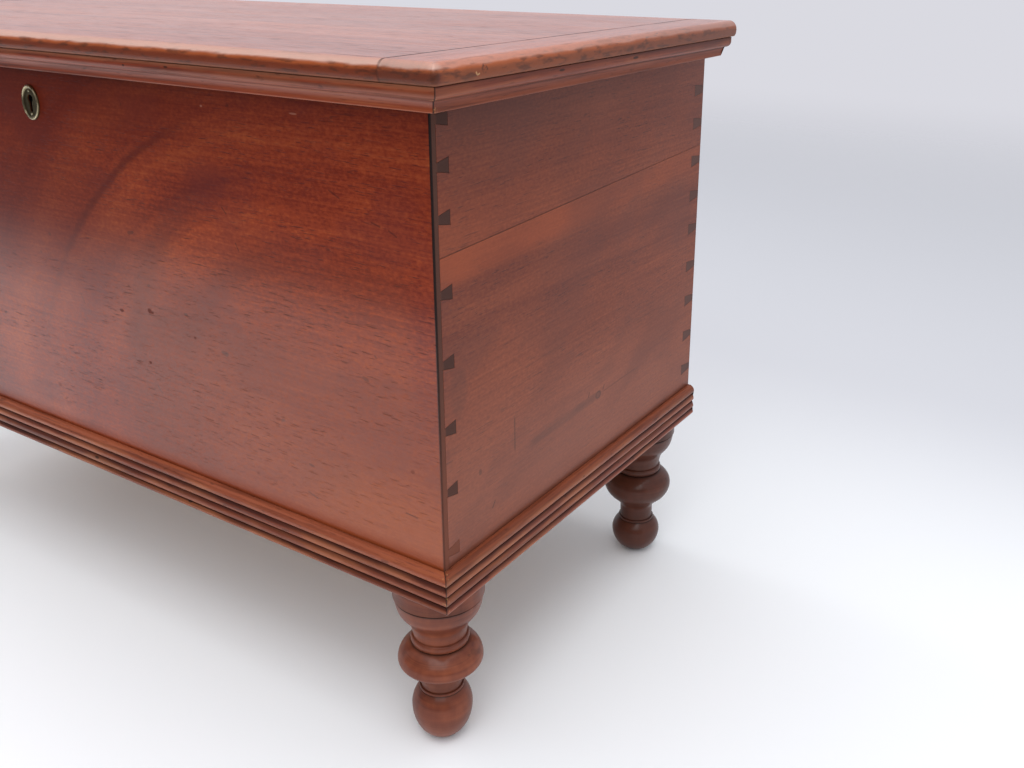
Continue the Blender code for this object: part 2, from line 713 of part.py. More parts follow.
# Hinges
def hinge_leaf(name, x_middle, up, own, other):
    """A leaf with its knuckles, and its mortise. up is 1 on the lid and -1 on the case. own and other are
    the spans of the leaf's own knuckles and of the other leaf's."""
    flat = Z_AXIS + up * FIT / 2
    low_z, high_z = sorted((flat, flat + up * LEAF_THICKNESS))
    half = HINGE_LENGTH / 2
    low, high = (x_middle - half, Y_BACK - LEAF_WIDTH, low_z), (x_middle + half, Y_AXIS, high_z)
    leaf = box(name, low, high)
    for number, (start, end) in enumerate(own):
        ends = (x_middle + start, Y_AXIS, Z_AXIS), (x_middle + end, Y_AXIS, Z_AXIS)
        join(leaf, as_cutter(rod(f"{name}_knuckle_{number}", KNUCKLE_RADIUS, *ends)))
    for number, (start, end) in enumerate(other):
        clear_low = (x_middle + start - FIT, Y_BACK, Z_AXIS - 2 * KNUCKLE_RADIUS)
        clear_high = (x_middle + end + FIT, Y_AXIS + 2 * KNUCKLE_RADIUS, Z_AXIS + 2 * KNUCKLE_RADIUS)
        cut(leaf, as_cutter(box(f"{name}_clearance_{number}", clear_low, clear_high)))
    bore_ends = (x_middle - HINGE_LENGTH, Y_AXIS, Z_AXIS), (x_middle + HINGE_LENGTH, Y_AXIS, Z_AXIS)
    cut(leaf, as_cutter(rod(f"{name}_bore", HINGE_PIN_RADIUS + FIT, *bore_ends, facets=HINGE_FACETS)))
    mortise_low, mortise_high = grown(low, high, FIT)
    return leaf, as_cutter(box(f"{name}_mortise", mortise_low, mortise_high))


def hinge_pin(name, x_middle):
    """A pin along X with a rounded head at each end."""
    half = HINGE_LENGTH / 2 + FIT
    head = arc((0.0, half), (HINGE_PIN_HEAD, HINGE_HEAD_LENGTH), 90, 0, steps=3)
    upper = [*head, (HINGE_PIN_RADIUS, half)]
    profile = upper + [(radius, -height) for radius, height in reversed(upper)]
    made = turned(name, profile, HINGE_FACETS, (x_middle, Y_AXIS, Z_AXIS))
    made.rotation_euler = (0.0, math.pi / 2, 0.0)
    finish(made, OLD_IRON)


def hinge(side, sign):
    x_middle = sign * (X_END - HINGE_INSET)
    edges = [HINGE_LENGTH * i / KNUCKLES - HINGE_LENGTH / 2 for i in range(KNUCKLES + 1)]
    spans = list(zip(edges, edges[1:]))
    case_knuckles, lid_knuckles = spans[0::2], [(start + FIT, end - FIT) for start, end in spans[1::2]]
    for part, up, own, other, board, head, body in (
        ("case", -1, case_knuckles, lid_knuckles, back_board, HEAD_UP, None),
        ("lid", 1, lid_knuckles, case_knuckles, lid_panel, HEAD_DOWN, LID_AXIS),
    ):
        leaf, mortise = hinge_leaf(f"hinge_{side}_{part}_leaf", x_middle, up, own, other)
        finish(leaf, OLD_IRON, body)
        cut(board, mortise)
        for number, shift in enumerate((-SCREW_PITCH, 0.0, SCREW_PITCH), 1):
            place = (x_middle + shift, Y_BACK - LEAF_WIDTH / 2, Z_AXIS + up * FIT / 2)
            screw(f"hinge_{side}_{part}_screw_{number}", place, head, (leaf, board), body)
    hinge_pin(f"hinge_{side}_pin", x_middle)


for side, sign in SIDES:
    hinge(side, sign)


# Lock, let into the front board from the inside
def keyhole_outline(radius, slot, drop):
    """A round over a straight slot, as (x, z) points about the middle of the round."""
    meet = math.degrees(math.asin(slot / 2 / radius))
    found = arc((0.0, Z_KEY), (radius, radius), meet - 90, 270 - meet, steps=16)
    return found + [(-slot / 2, Z_KEY - drop), (slot / 2, Z_KEY - drop)]


def keyhole_cutter(name, grow, low_y, high_y):
    outline = keyhole_outline(KEYHOLE_RADIUS + grow, KEYHOLE_SLOT + 2 * grow, KEYHOLE_DROP + grow)
    return as_cutter(prism(name, outline, "Y", low_y, high_y))


Y_CAP = Y_FRONT_IN - LOCK_DEPTH
Y_BOLT = Y_FRONT_IN - BOLT_STAND
Z_UNDER_SELVEDGE = Z_RIM - LOCK_PLATE
loop_middles = (-LOOP_PITCH / 2, LOOP_PITCH / 2)
y_loop = Y_BOLT - BOLT_THICKNESS / 2
hole_middle = Z_LID - LOOP_HOLE_TOP - LOOP_HOLE_HEIGHT / 2
bar_top = Z_LID - LOOP_DROP - LOOP_GAP
bar_low = bar_top - BOLT_BAR
arm_low = Z_KEY + KEY_SWEEP - TALON_DEPTH
finger_reach = BOLT_THROW + FINGER_GAP + LOOP_GAP
finger_ends = [x - LOOP_THICKNESS / 2 - FINGER_GAP for x in loop_middles]
post_left = [end - finger_reach - BOLT_POST for end in finger_ends]
stud_x = post_left[0] + BOLT_POST + BOLT_THROW


def lock_plate():
    """The plate inside the chest and the selvedge along the top of the board, with the bolt's stud."""
    half = LOCK_LENGTH / 2
    low, high = (-half, Y_FRONT_IN - LOCK_PLATE, Z_RIM - LOCK_HEIGHT), (half, Y_FRONT_IN, Z_RIM)
    top_low, top_high = (-half, Y_CAP, Z_UNDER_SELVEDGE), (half, Y_FRONT_IN, Z_RIM)
    section = [
        (Y_FRONT_IN, low[2]),
        (Y_FRONT_IN, Z_RIM),
        (Y_CAP, Z_RIM),
        (Y_CAP, Z_UNDER_SELVEDGE),
        (low[1], Z_UNDER_SELVEDGE),
        (low[1], low[2]),
    ]
    plate = prism("lock_plate", section, "X", -half, half)
    stud_z = (bar_top + bar_low) / 2
    stud_root = (stud_x, Y_FRONT_IN - LOCK_PLATE / 2, stud_z)
    stud_tip = (stud_x, Y_BOLT - BOLT_THICKNESS, stud_z)
    join(plate, as_cutter(rod("bolt_stud", STUD_RADIUS, stud_root, stud_tip, SMALL_FACETS)))
    for number, x in enumerate(loop_middles):
        reach = Vector((LOOP_THICKNESS / 2 + LOOP_GAP, LOOP_WIDTH / 2 + LOOP_GAP, LOCK_PLATE))
        middle = Vector((x, y_loop, Z_RIM - LOCK_PLATE / 2))
        cut(plate, as_cutter(box(f"selvedge_slot_{number}", middle - reach, middle + reach)))
    finish(plate, OLD_IRON)
    mortises = [
        as_cutter(box("lock_plate_mortise", *grown(low, high, FIT))),
        as_cutter(box("selvedge_mortise", *grown(top_low, top_high, FIT))),
    ]
    cut(front_board, *mortises)
    edge = half - LOCK_SCREW_EDGE
    heights = (Z_UNDER_SELVEDGE - LOCK_SCREW_EDGE, low[2] + LOCK_SCREW_EDGE)
    places = [(x, z) for z in heights for x in (-edge, edge)]
    for number, (x, z) in enumerate(places, 1):
        screw(f"lock_screw_{number}", (x, Y_FRONT_IN, z), HEAD_INSIDE, (plate, front_board))


def lock_cap():
    """A shallow box over the works, open to the plate and at the top, with the keyhole in its face."""
    half = CAP_LENGTH / 2
    top = Z_UNDER_SELVEDGE - FIT
    low, high = (-half, Y_CAP, top - CAP_HEIGHT), (half, Y_FRONT_IN - LOCK_PLATE - FIT, top)
    cap = box("lock_cap", low, high)
    inside_low = (low[0] + CAP_WALL, low[1] + CAP_WALL, low[2] + CAP_WALL)
    inside_high = (high[0] - CAP_WALL, high[1] + BEYOND, high[2] + BEYOND)
    cut(cap, as_cutter(box("lock_cap_inside", inside_low, inside_high)))
    cut(cap, keyhole_cutter("lock_cap_keyhole", 0.0, Y_CAP - BEYOND, Y_CAP + 2 * CAP_WALL))
    finish(cap, OLD_IRON)
    pocket_low, pocket_high = grown(low, high, FIT)
    cut(front_board, as_cutter(box("lock_cap_pocket", pocket_low, pocket_high)))


def lock_bolt():
    """Two fingers on a bar that slides on the stud, with an arm down to the key and a talon in it."""
    finger_low, finger_high = hole_middle - FINGER_HEIGHT / 2, hole_middle + FINGER_HEIGHT / 2
    arm_middle = -BOLT_THROW / 2
    arm_left, arm_right = arm_middle - BOLT_ARM / 2, arm_middle + BOLT_ARM / 2
    talon_left, talon_right = arm_middle - TALON_WIDTH / 2, arm_middle + TALON_WIDTH / 2
    talon_top = arm_low + TALON_DEPTH
    right = max(arm_right, post_left[1] + BOLT_POST)
    points = [(post_left[0], bar_low)]
    for left, end in zip(post_left, finger_ends):
        points += [(left, bar_top), (left, finger_high), (end, finger_high), (end, finger_low)]
        points += [(left + BOLT_POST, finger_low), (left + BOLT_POST, bar_top)]
    points += [(right, bar_top), (right, bar_low), (arm_right, bar_low), (arm_right, arm_low)]
    points += [(talon_right, arm_low), (talon_right, talon_top)]
    points += [(talon_left, talon_top), (talon_left, arm_low), (arm_left, arm_low), (arm_left, bar_low)]
    bolt = prism("lock_bolt", points, "Y", Y_BOLT - BOLT_THICKNESS, Y_BOLT)
    stud_z, reach = (bar_top + bar_low) / 2, STUD_RADIUS + FIT
    slot_low = (stud_x - reach - BOLT_THROW, Y_BOLT - BOLT_THICKNESS - BEYOND, stud_z - reach)
    slot_high = (stud_x + reach, Y_BOLT + BEYOND, stud_z + reach)
    cut(bolt, as_cutter(box("bolt_slot", slot_low, slot_high)))
    finish(bolt, OLD_IRON, BOLT_AXIS)


def lock_spring():
    """A bent leaf that leans on the wall of the cap and bears up under the bar."""
    wall = -CAP_LENGTH / 2 + CAP_WALL + FIT
    reach = -BOLT_THROW / 2 - BOLT_ARM / 2 - FIT - wall
    height = bar_low - FIT - arm_low
    centre, inner_radii = (wall + reach, arm_low), (reach - SPRING_THICKNESS, height - SPRING_THICKNESS)
    outer = arc(centre, (reach, height), 180, 90, steps=8)
    inner = arc(centre, inner_radii, 90, 180, steps=8)
    middle = Y_BOLT - BOLT_THICKNESS / 2
    ends = middle - SPRING_WIDTH / 2, middle + SPRING_WIDTH / 2
    finish(prism("lock_spring", outer + inner, "Y", *ends), OLD_IRON)


def key_pin():
    """The post that a hollow key turns on."""
    ends = (0.0, Y_FRONT_IN - LOCK_PLATE - FIT, Z_KEY), (0.0, Y_CAP + 2 * CAP_WALL, Z_KEY)
    finish(rod("lock_key_pin", KEY_PIN_RADIUS, *ends, SMALL_FACETS), OLD_IRON)


def keeper():
    """A plate let into the lid, with two loops that hang through the selvedge."""
    low = (-KEEPER_LENGTH / 2, y_loop - KEEPER_WIDTH / 2, Z_LID)
    high = (KEEPER_LENGTH / 2, y_loop + KEEPER_WIDTH / 2, Z_LID + KEEPER_PLATE)
    plate = box("lock_keeper", low, high)
    for number, x in enumerate(loop_middles):
        half = Vector((LOOP_THICKNESS / 2, LOOP_WIDTH / 2))
        loop_low = (x - half.x, y_loop - half.y, Z_LID - LOOP_DROP)
        loop_high = (x + half.x, y_loop + half.y, Z_LID + KEEPER_PLATE / 2)
        join(plate, as_cutter(box(f"keeper_loop_{number}", loop_low, loop_high)))
        reach = Vector((LOOP_THICKNESS, LOOP_HOLE_WIDTH / 2, LOOP_HOLE_HEIGHT / 2))
        middle = Vector((x, y_loop, hole_middle))
        cut(plate, as_cutter(box(f"keeper_hole_{number}", middle - reach, middle + reach)))
    finish(plate, OLD_IRON, LID_AXIS)
    cut(lid_panel, as_cutter(box("keeper_mortise", *grown(low, high, FIT))))
    for number, x in enumerate((-KEEPER_SCREW_PITCH / 2, KEEPER_SCREW_PITCH / 2), 1):
        screw(f"keeper_screw_{number}", (x, y_loop, Z_LID), HEAD_DOWN, (plate, lid_panel), LID_AXIS)


lock_plate()
lock_cap()
lock_bolt()
lock_spring()
key_pin()
keeper()


# Escutcheon round the keyhole
def oval_profile():
    """A dished oval with a rounded rim and a small inner step, as (radius, height) points."""
    radius = OVAL_HEIGHT / 2
    rim = arc((radius - OVAL_RIM / 2, OVAL_RISE / 2), (OVAL_RIM / 2, OVAL_RISE / 2), 135, 0, steps=5)
    return [(0.0, OVAL_FIELD), (radius - OVAL_HOLLOW, OVAL_FIELD), *rim, (radius, 0.0), (0.0, 0.0)]


def escutcheon():
    z_middle = Z_KEY - KEYHOLE_RAISE
    face = (0.0, Y_FRONT - FIT, z_middle)
    squeeze = OVAL_WIDTH / OVAL_HEIGHT
    oval = turned("escutcheon", oval_profile(), OVAL_FACETS, face, HEAD_OUTSIDE, squeeze)
    oval.data.shade_smooth()
    keyhole_ends = Y_FRONT - BEYOND, Y_CAP + BEYOND
    cut(oval, keyhole_cutter("oval_keyhole", 0.0, *keyhole_ends))
    cut(front_board, keyhole_cutter("board_keyhole", FIT, *keyhole_ends))
    finish(oval, OLD_BRASS)
    for place, up in (("top", 1), ("foot", -1)):
        seat = (0.0, face[1] - OVAL_FIELD - FIT, z_middle + up * OVAL_PIN_RISE)
        dome = arc((0.0, 0.0), (OVAL_PIN_HEAD, OVAL_PIN_DOME), 90, 0, steps=3)
        shank = [(OVAL_PIN_SHANK, 0.0), (OVAL_PIN_SHANK, -OVAL_PIN_LENGTH), (0.0, -OVAL_PIN_LENGTH)]
        pin = turned(f"escutcheon_pin_{place}", dome + shank, SMALL_FACETS, seat, HEAD_OUTSIDE)
        finish(pin, OLD_BRASS)
        end = (seat[0], seat[1] + OVAL_PIN_LENGTH + FIT, seat[2])
        start = (seat[0], seat[1] - BEYOND, seat[2])
        bore = OVAL_PIN_SHANK + FIT
        hole = as_cutter(rod(f"escutcheon_pin_hole_{place}", bore, start, end, SMALL_FACETS))
        cut(oval, hole)
        cut(front_board, hole)


escutcheon()
bpy.context.view_layer.update()
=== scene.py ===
"""Looks of a blanket chest: the finish of every board and fitting, and the lid, mouldings, turned feet and
keyhole plate as smooth surfaces. Metres, +Z up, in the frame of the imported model: +X is the chest's right
and -Y its front."""

import math

import bmesh
import bpy
import numpy as np
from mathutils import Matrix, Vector


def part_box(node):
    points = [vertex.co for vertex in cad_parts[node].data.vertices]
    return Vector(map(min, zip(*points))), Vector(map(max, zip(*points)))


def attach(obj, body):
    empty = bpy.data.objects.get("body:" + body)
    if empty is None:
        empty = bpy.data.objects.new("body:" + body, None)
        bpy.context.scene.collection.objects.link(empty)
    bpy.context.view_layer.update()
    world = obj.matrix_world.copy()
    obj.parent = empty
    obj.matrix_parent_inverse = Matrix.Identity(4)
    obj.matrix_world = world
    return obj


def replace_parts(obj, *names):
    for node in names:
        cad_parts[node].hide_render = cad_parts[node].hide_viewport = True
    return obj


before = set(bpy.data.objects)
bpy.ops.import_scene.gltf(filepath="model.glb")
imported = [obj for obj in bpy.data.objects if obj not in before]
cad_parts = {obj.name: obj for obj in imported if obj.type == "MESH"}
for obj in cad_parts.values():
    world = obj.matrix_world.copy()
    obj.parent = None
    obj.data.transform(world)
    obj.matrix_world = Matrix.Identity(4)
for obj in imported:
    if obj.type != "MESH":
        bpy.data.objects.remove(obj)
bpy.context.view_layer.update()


def low(node):
    """The lower corner of a node's box."""
    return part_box(node)[0]


def high(node):
    """The upper corner of a node's box."""
    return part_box(node)[1]


# Planes and levels of the chest, read from the frame
X_END = high("front_board").x
Y_FRONT = low("front_board").y
Y_FRONT_IN = high("front_board").y
Y_BACK = high("back_board").y
Y_BACK_IN = low("back_board").y
Z_CASE = low("front_board").z
Z_BASE_TOP = high("base_moulding_front").z
Z_LIP = low("lip_moulding_front").z
Z_LID = low("lid_end_cap_right").z
Z_TOP = high("lid_end_cap_right").z
X_NOSE = high("lid_end_cap_right").x
X_CAP_SEAM = low("lid_end_cap_right").x
Y_NOSE = low("lid_end_cap_right").y
END_BOARD = X_END - low("right_end_lower_board").x
LAP = low("right_end_lower_board").y - Y_FRONT
SEAM_RISE = high("right_end_lower_board").z - low("right_end_upper_board").z
SEAM_LOW = low("right_end_upper_board").z

# Fits and joints
FIT = 0.0003
PIN_NARROW = 0.0070
PIN_WIDE = 0.0125
BACK_PINS = (0.0245, 0.0655, 0.1075, 0.1475, 0.190, 0.227, 0.265, 0.305, 0.3395)  # above the base moulding
SAME_POINT = 1e-6
STEP_WIDTH = 2e-5  # run of the wall of a recess
WAVES = 5  # sines in a slow wave
SIDES = (("right", 1), ("left", -1))

# Glue round the back pins
GLUE_SKINS = (FIT * 0.05, FIT * 0.95)  # in from the wall of the socket
GLUE_SHRINK = 0.0003
GLUE_SHY = 0.0001  # behind the outer faces
GLUE_IN = 0.001  # short of the inner face

# Base moulding
BASE_HEIGHT = Z_BASE_TOP - Z_CASE
BASE_OUT = high("base_moulding_right").x - X_END
BASE_VALLEY = 0.0036
BASE_LOW_REED = 0.0074
BASE_TOP_REED = 0.0102
BASE_TOP_WIDEST = 0.0036
BASE_TOP_LEDGE = 0.0015
REED_FULLEST = 0.36
MIDDLE_REEDS = 2
REED = (BASE_HEIGHT - BASE_TOP_REED - BASE_LOW_REED) / MIDDLE_REEDS
VALLEYS = [0.0] + [BASE_LOW_REED + REED * number for number in range(MIDDLE_REEDS + 1)]

# Lip moulding
LIP_HEIGHT = Z_LID - Z_LIP
LIP_IN = 0.0010
LIP_OUT = high("lip_moulding_right").x - X_END
LIP_BAND = 0.0045
LIP_ROUND_OUT = 0.0250
LIP_STEP_OUT = 0.0234
LIP_STEP_UP = 0.0092
LIP_FOOT_OUT = 0.0206
LIP_HOLLOW = 0.0006
LIP_ARRIS = 0.0006

# Both mouldings
STRIP_STEPS = 301
STRIP_WEAR = 0.00022

# Lid
LID_THICKNESS = Z_TOP - Z_LID
NOSE_DEPTH = 0.0080
NOSE_TUCK = 0.0028
NOSE_LOW = 0.0065
CORNER_ROUND = 0.0042
BACK_ARRIS = 0.0012
LEAF_RECESS = 0.0022
KEEPER_RECESS = 0.0020
LID_SAG = 0.00025
LID_STEPS = 181
NOSE_STEPS = 24

# Feet
FOOT_TOP = Z_CASE - FIT
FOOT_HEIGHT = FOOT_TOP - low("foot_front_right").z
TENON_RADIUS = 0.0140
TENON_LENGTH = high("foot_front_right").z - FOOT_TOP
COLLAR_RADIUS = 0.0412
NECK_RADIUS = 0.0244
RING_RADIUS = 0.0267
BULB_RADIUS = 0.0389
WAIST_RADIUS = 0.0189
BEAD_RADIUS = 0.0206
BEAD_HEIGHT = 0.0030
BALL_RADIUS = 0.0279
SOLE_RADIUS = 0.0080
QUIRK = 0.0008
BULB_TURN = 40
HOLLOW_EASE = 0.55
OUT_OF_ROUND = 0.006
FOOT_STEPS = 97
# Darkening of each foot's colour: some from years of use on all four, and painted shade that makes the back
# feet darker.
FRONT_AGE_AND_SHADE, BACK_AGE_AND_SHADE = 0.30, 1.25

# Depths below a foot's top of its collar groove, neck, ring, bulb, half bulb, waist, bead and ball
FRONT_TURNING = (0.0200, 0.0613, 0.0692, 0.0867, 0.0125, 0.1010, 0.1158, 0.1382)
BACK_TURNING = (0.0157, 0.0575, 0.0651, 0.0816, 0.0280, 0.1134, 0.1266, 0.1452)

# Keyhole plate
OVAL_LOW, OVAL_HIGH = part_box("escutcheon")
OVAL_FACE = OVAL_HIGH.y
OVAL_RISE = OVAL_HIGH.y - OVAL_LOW.y
OVAL_FIELD = 0.0009
OVAL_RIM = 0.0028
OVAL_HOLLOW = 0.0042
OVAL_DISH = 0.45  # share of the rim's rise that the dish climbs
KEYHOLE_RADIUS = 0.0040
KEYHOLE_SLOT = 0.0046
KEYHOLE_DROP = 0.0125
KEYHOLE_RAISE = 0.0035
KEYHOLE_CHAMFER = 0.0003
RAY_DROP = KEYHOLE_RADIUS * 0.9  # from the middle of the round to the start of the rays
Z_KEYHOLE = (OVAL_LOW.z + OVAL_HIGH.z) / 2
PIN_HEAD = 0.0012
PIN_DOME = 0.0007
PIN_SHANK = 0.0006
OVAL_STEPS = 145
PIN_STEPS = 33


# Grids of points and the meshes made from them
def points(*axes):
    """A grid of points from one array for each axis."""
    return np.stack(np.broadcast_arrays(*axes), -1)


def arc(centre, radii, start, stop, count):
    """Points on an ellipse: centre plus the radii times the cosine and sine of evenly spaced angles."""
    angle = np.radians(np.linspace(start, stop, count))
    return points(centre[0] + radii[0] * np.cos(angle), centre[1] + radii[1] * np.sin(angle))


def waver(position, seed, pitch):
    """A slow, uneven wave from 0 to 1 along a length: the mean of sines of unlike pitch and phase."""
    draws = np.random.default_rng(seed)
    phases, stretches = draws.uniform(0, 2 * np.pi, WAVES), draws.uniform(0.4, 1.9, WAVES)
    waves = [np.sin(2 * np.pi * position * s / pitch + p) for s, p in zip(stretches, phases)]
    return 0.5 + sum(waves) / (2 * WAVES)


def closed_end(row):
    """A fan that closes the end of a strip: the last row of points, and its middle repeated."""
    return np.stack([row, np.broadcast_to(row.mean(0), row.shape)])


def capped(grid, marks):
    """The patches of a strip: its grid of points, and a fan at each end."""
    return [(part, marks) for part in (grid, closed_end(grid[0]), closed_end(grid[-1]))]


def placed(name, data):
    """An object for a mesh, a lamp or a camera, linked to the scene."""
    made = bpy.data.objects.new(name, data)
    bpy.context.scene.collection.objects.link(made)
    return made


def piece(name, patches, look, body, nodes, crease=40):
    """One closed mesh from grids of points. Each patch is (grid, marks): grid has the shape (rows, columns,
    3), and marks gives one number a point, such as how much dirt lies there. Edges that turn by more than
    crease degrees stay sharp."""
    faces, start = [], 0
    for grid, _ in patches:
        rows, columns = grid.shape[:2]
        index = start + np.arange(rows * columns).reshape(rows, columns)
        quads = np.stack([index[:-1, :-1], index[1:, :-1], index[1:, 1:], index[:-1, 1:]], -1)
        faces.append(quads.reshape(-1, 4))
        start += rows * columns
    corners = np.concatenate([grid.reshape(-1, 3) for grid, _ in patches])
    mesh = bpy.data.meshes.new(name)
    mesh.from_pydata(corners, [], np.concatenate(faces))
    for label in patches[0][1]:
        values = [np.broadcast_to(marks[label], grid.shape[:2]).ravel() for grid, marks in patches]
        attribute = mesh.attributes.new(label, "FLOAT", "POINT")
        attribute.data.foreach_set("value", np.concatenate(values).astype(np.float32))
    shape = bmesh.new()
    shape.from_mesh(mesh)
    bmesh.ops.remove_doubles(shape, verts=shape.verts, dist=SAME_POINT)
    bmesh.ops.recalc_face_normals(shape, faces=shape.faces)
    shape.to_mesh(mesh)
    shape.free()
    mesh.shade_smooth()
    mesh.set_sharp_from_angle(angle=math.radians(crease))
    mesh.materials.append(look)
    made = placed(name, mesh)
    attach(made, body)
    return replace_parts(made, *nodes)


# Shader arithmetic
class Socket:
    """A shader socket that takes part in Python arithmetic: each operation adds a Math node."""

    def __init__(self, tree, link=None):
        self.tree = tree
        self.link = link

    def node(self, kind, settings=None, inputs=None, output=0):
        """Adds a node. Its settings are set first, then its sockets get their values or links."""
        made = self.tree.nodes.new(kind)
        for name, value in (settings or {}).items():
            if name == "stops":
                set_stops(made.color_ramp.elements, value)
            else:
                setattr(made, name, value)
        for key, value in (inputs or {}).items():
            if isinstance(value, Socket):
                self.tree.links.new(value.link, made.inputs[key])
            else:
                made.inputs[key].default_value = value
        return Socket(self.tree, made.outputs[output] if made.outputs else None)

    def out(self, name):
        """Another output of the same node."""
        return Socket(self.tree, self.link.node.outputs[name])

    def math(self, operation, *values):
        """A Math node on numbers or sockets."""
        return self.node("ShaderNodeMath", {"operation": operation}, dict(enumerate(values)))

    def __add__(self, other):
        return self.math("ADD", self, other)

    def __sub__(self, other):
        return self.math("SUBTRACT", self, other)

    def __rsub__(self, other):
        return self.math("SUBTRACT", other, self)

    def __mul__(self, other):
        return self.math("MULTIPLY", self, other)

    def __truediv__(self, other):
        return self.math("DIVIDE", self, other)

    def __pow__(self, other):
        return self.math("POWER", self, other)

    def __abs__(self):
        return self.math("ABSOLUTE", self)

    __radd__ = __add__
    __rmul__ = __mul__


def set_stops(elements, stops):
    """Colour stops of a ramp, as (place, colour) pairs in rising order."""
    while len(elements) < len(stops):
        elements.new(1.0)
    for element, (place, colour) in zip(elements, stops):
        element.position = place
        element.color = (*colour, 1.0)


def noise(u, v, w, detail=2.0, roughness=0.5):
    """Cloudy noise, about 0.5 on average, with one feature to each unit of u, v and w."""
    place = u.node("ShaderNodeCombineXYZ", None, {0: u, 1: v, 2: w})
    inputs = {"Vector": place, "Scale": 1.0, "Detail": detail, "Roughness": roughness}
    return u.node("ShaderNodeTexNoise", None, inputs)


def ramp(value, start, stop):
    """0 up to start, 1 from stop on, and a smooth rise between them. A stop below start turns it round."""
    if stop < start:
        return 1 - ramp(value, stop, start)
    inputs = {"Value": value, "From Min": start, "From Max": stop}
    return value.node("ShaderNodeMapRange", {"interpolation_type": "SMOOTHSTEP"}, inputs)


def tint(factor, first, second):
    """The first colour where factor is 0 and the second where it is 1."""
    colours = {key: c if isinstance(c, Socket) else (*c, 1.0) for key, c in ((6, first), (7, second))}
    return factor.node("ShaderNodeMix", {"data_type": "RGBA"}, {0: factor, **colours}, output=2)


def layered(colour, *layers):
    """A colour with others laid over it in turn, each a (factor, colour) pair."""
    for factor, over in layers:
        colour = tint(factor, colour, over)
    return colour


def toned(value, *stops):
    """A colour ramp over a value."""
    return value.node("ShaderNodeValToRGB", {"stops": stops}, {"Fac": value})


def new_look(name):
    """A material, a socket to build it from, and the X, Y and Z of its piece, in metres."""
    look = bpy.data.materials.new(name)
    look.use_nodes = True
    look.node_tree.nodes.clear()
    root = Socket(look.node_tree)
    place = root.node("ShaderNodeTexCoord", output="Object")
    x = root.node("ShaderNodeSeparateXYZ", None, {"Vector": place})
    return look, root, (x, x.out("Y"), x.out("Z"))


def surface(root, colour, roughness, height, depth, **fixed):
    """Closes a material: a Principled surface with a bump of the given depth in metres."""
    bump = root.node("ShaderNodeBump", None, {"Strength": 1.0, "Distance": depth, "Height": height})
    inputs = {"Base Color": colour, "Roughness": roughness, "Normal": bump}
    inputs.update({name.replace("_", " ").title().replace("Ior", "IOR"): v for name, v in fixed.items()})
    shader = root.node("ShaderNodeBsdfPrincipled", None, inputs)
    root.node("ShaderNodeOutputMaterial", None, {"Surface": shader})


def varnished(root, colour, roughness, height, depth, coat, gloss=0.18):
    """Closes a material under varnish: coat says how much of it is left, and gloss is the wood's own."""
    varnish = {"coat_weight": coat, "coat_roughness": 0.16, "coat_ior": 1.5}
    surface(root, colour, roughness, height, depth, specular_ior_level=gloss, **varnish)


def mark(root, name):
    """A number that the mesh carries at its points."""
    return root.node("ShaderNodeAttribute", {"attribute_name": name}, output="Fac")


def greatest(shapes):
    """The largest of several values at each point."""
    found = shapes[0]
    for shape in shapes[1:]:
        found = found.math("MAXIMUM", found, shape)
    return found


def spots(u, v, places):
    """Small oval marks, each a (middle u, middle v, half length, half height): 1 inside them, 0 outside."""
    ovals = [((u - a) / half_u) ** 2 + ((v - b) / half_v) ** 2 for a, b, half_u, half_v in places]
    return greatest([ramp(oval, 1.0, 0.3) for oval in ovals])


def strokes(u, v, width, lines):
    """Fine straight marks, each a (start u, start v, stop u, stop v): 1 on a line, fading off its sides."""
    shapes = []
    for u0, v0, u1, v1 in lines:
        length = math.hypot(u1 - u0, v1 - v0)
        run_u, run_v = (u1 - u0) / length, (v1 - v0) / length
        off_u, off_v = u - (u0 + u1) / 2, v - (v0 + v1) / 2
        along, across = off_u * run_u + off_v * run_v, off_u * run_v - off_v * run_u
        shapes.append(ramp(abs(across), width, width * 0.3) * ramp(abs(along), length / 2, length * 0.38))
    return greatest(shapes)


def shaded(value, *stops):
    """A grey ramp over a value, from (place, tone) pairs."""
    return toned(value, *[(place, (tone, tone, tone)) for place, tone in stops])


# Wood: u runs along the grain, v across it on the face and w through the board
PORE = (0.036, 0.01, 0.008)
END_GRAIN = (0.058, 0.025, 0.019)
OLD_DIRT = (0.016, 0.008, 0.006)

# Tones of each wood, from its dark figure to its bright figure
BARE_PINE = ((0, (0.19, 0.095, 0.042)), (0.5, (0.33, 0.19, 0.095)), (1, (0.47, 0.31, 0.17)))
BARE_BOARD = ((0.2, (0.12, 0.05, 0.026)), (0.5, (0.23, 0.112, 0.06)), (0.8, (0.33, 0.185, 0.105)))
BACK_TONES = ((0.3, (0.06, 0.018, 0.012)), (0.5, (0.11, 0.032, 0.019)), (0.75, (0.18, 0.058, 0.03)))
FRONT_TONES = (
    (0.26, (0.09, 0.009, 0.0042)), (0.42, (0.16, 0.019, 0.0065)),
    (0.56, (0.255, 0.038, 0.01)), (0.74, (0.39, 0.082, 0.019)),
)
END_TONES = (
    (0.26, (0.105, 0.02, 0.01)), (0.44, (0.165, 0.035, 0.015)),
    (0.58, (0.23, 0.053, 0.021)), (0.78, (0.32, 0.086, 0.033)),
)
LID_TONES = (
    (0.3, (0.23, 0.037, 0.012)), (0.48, (0.37, 0.072, 0.021)),
    (0.62, (0.49, 0.112, 0.034)), (0.8, (0.6, 0.175, 0.06)),
)
FOOT_TONES = (
    (0.3, (0.105, 0.023, 0.012)), (0.46, (0.185, 0.043, 0.019)),
    (0.6, (0.265, 0.067, 0.028)), (0.78, (0.36, 0.105, 0.045)),
)

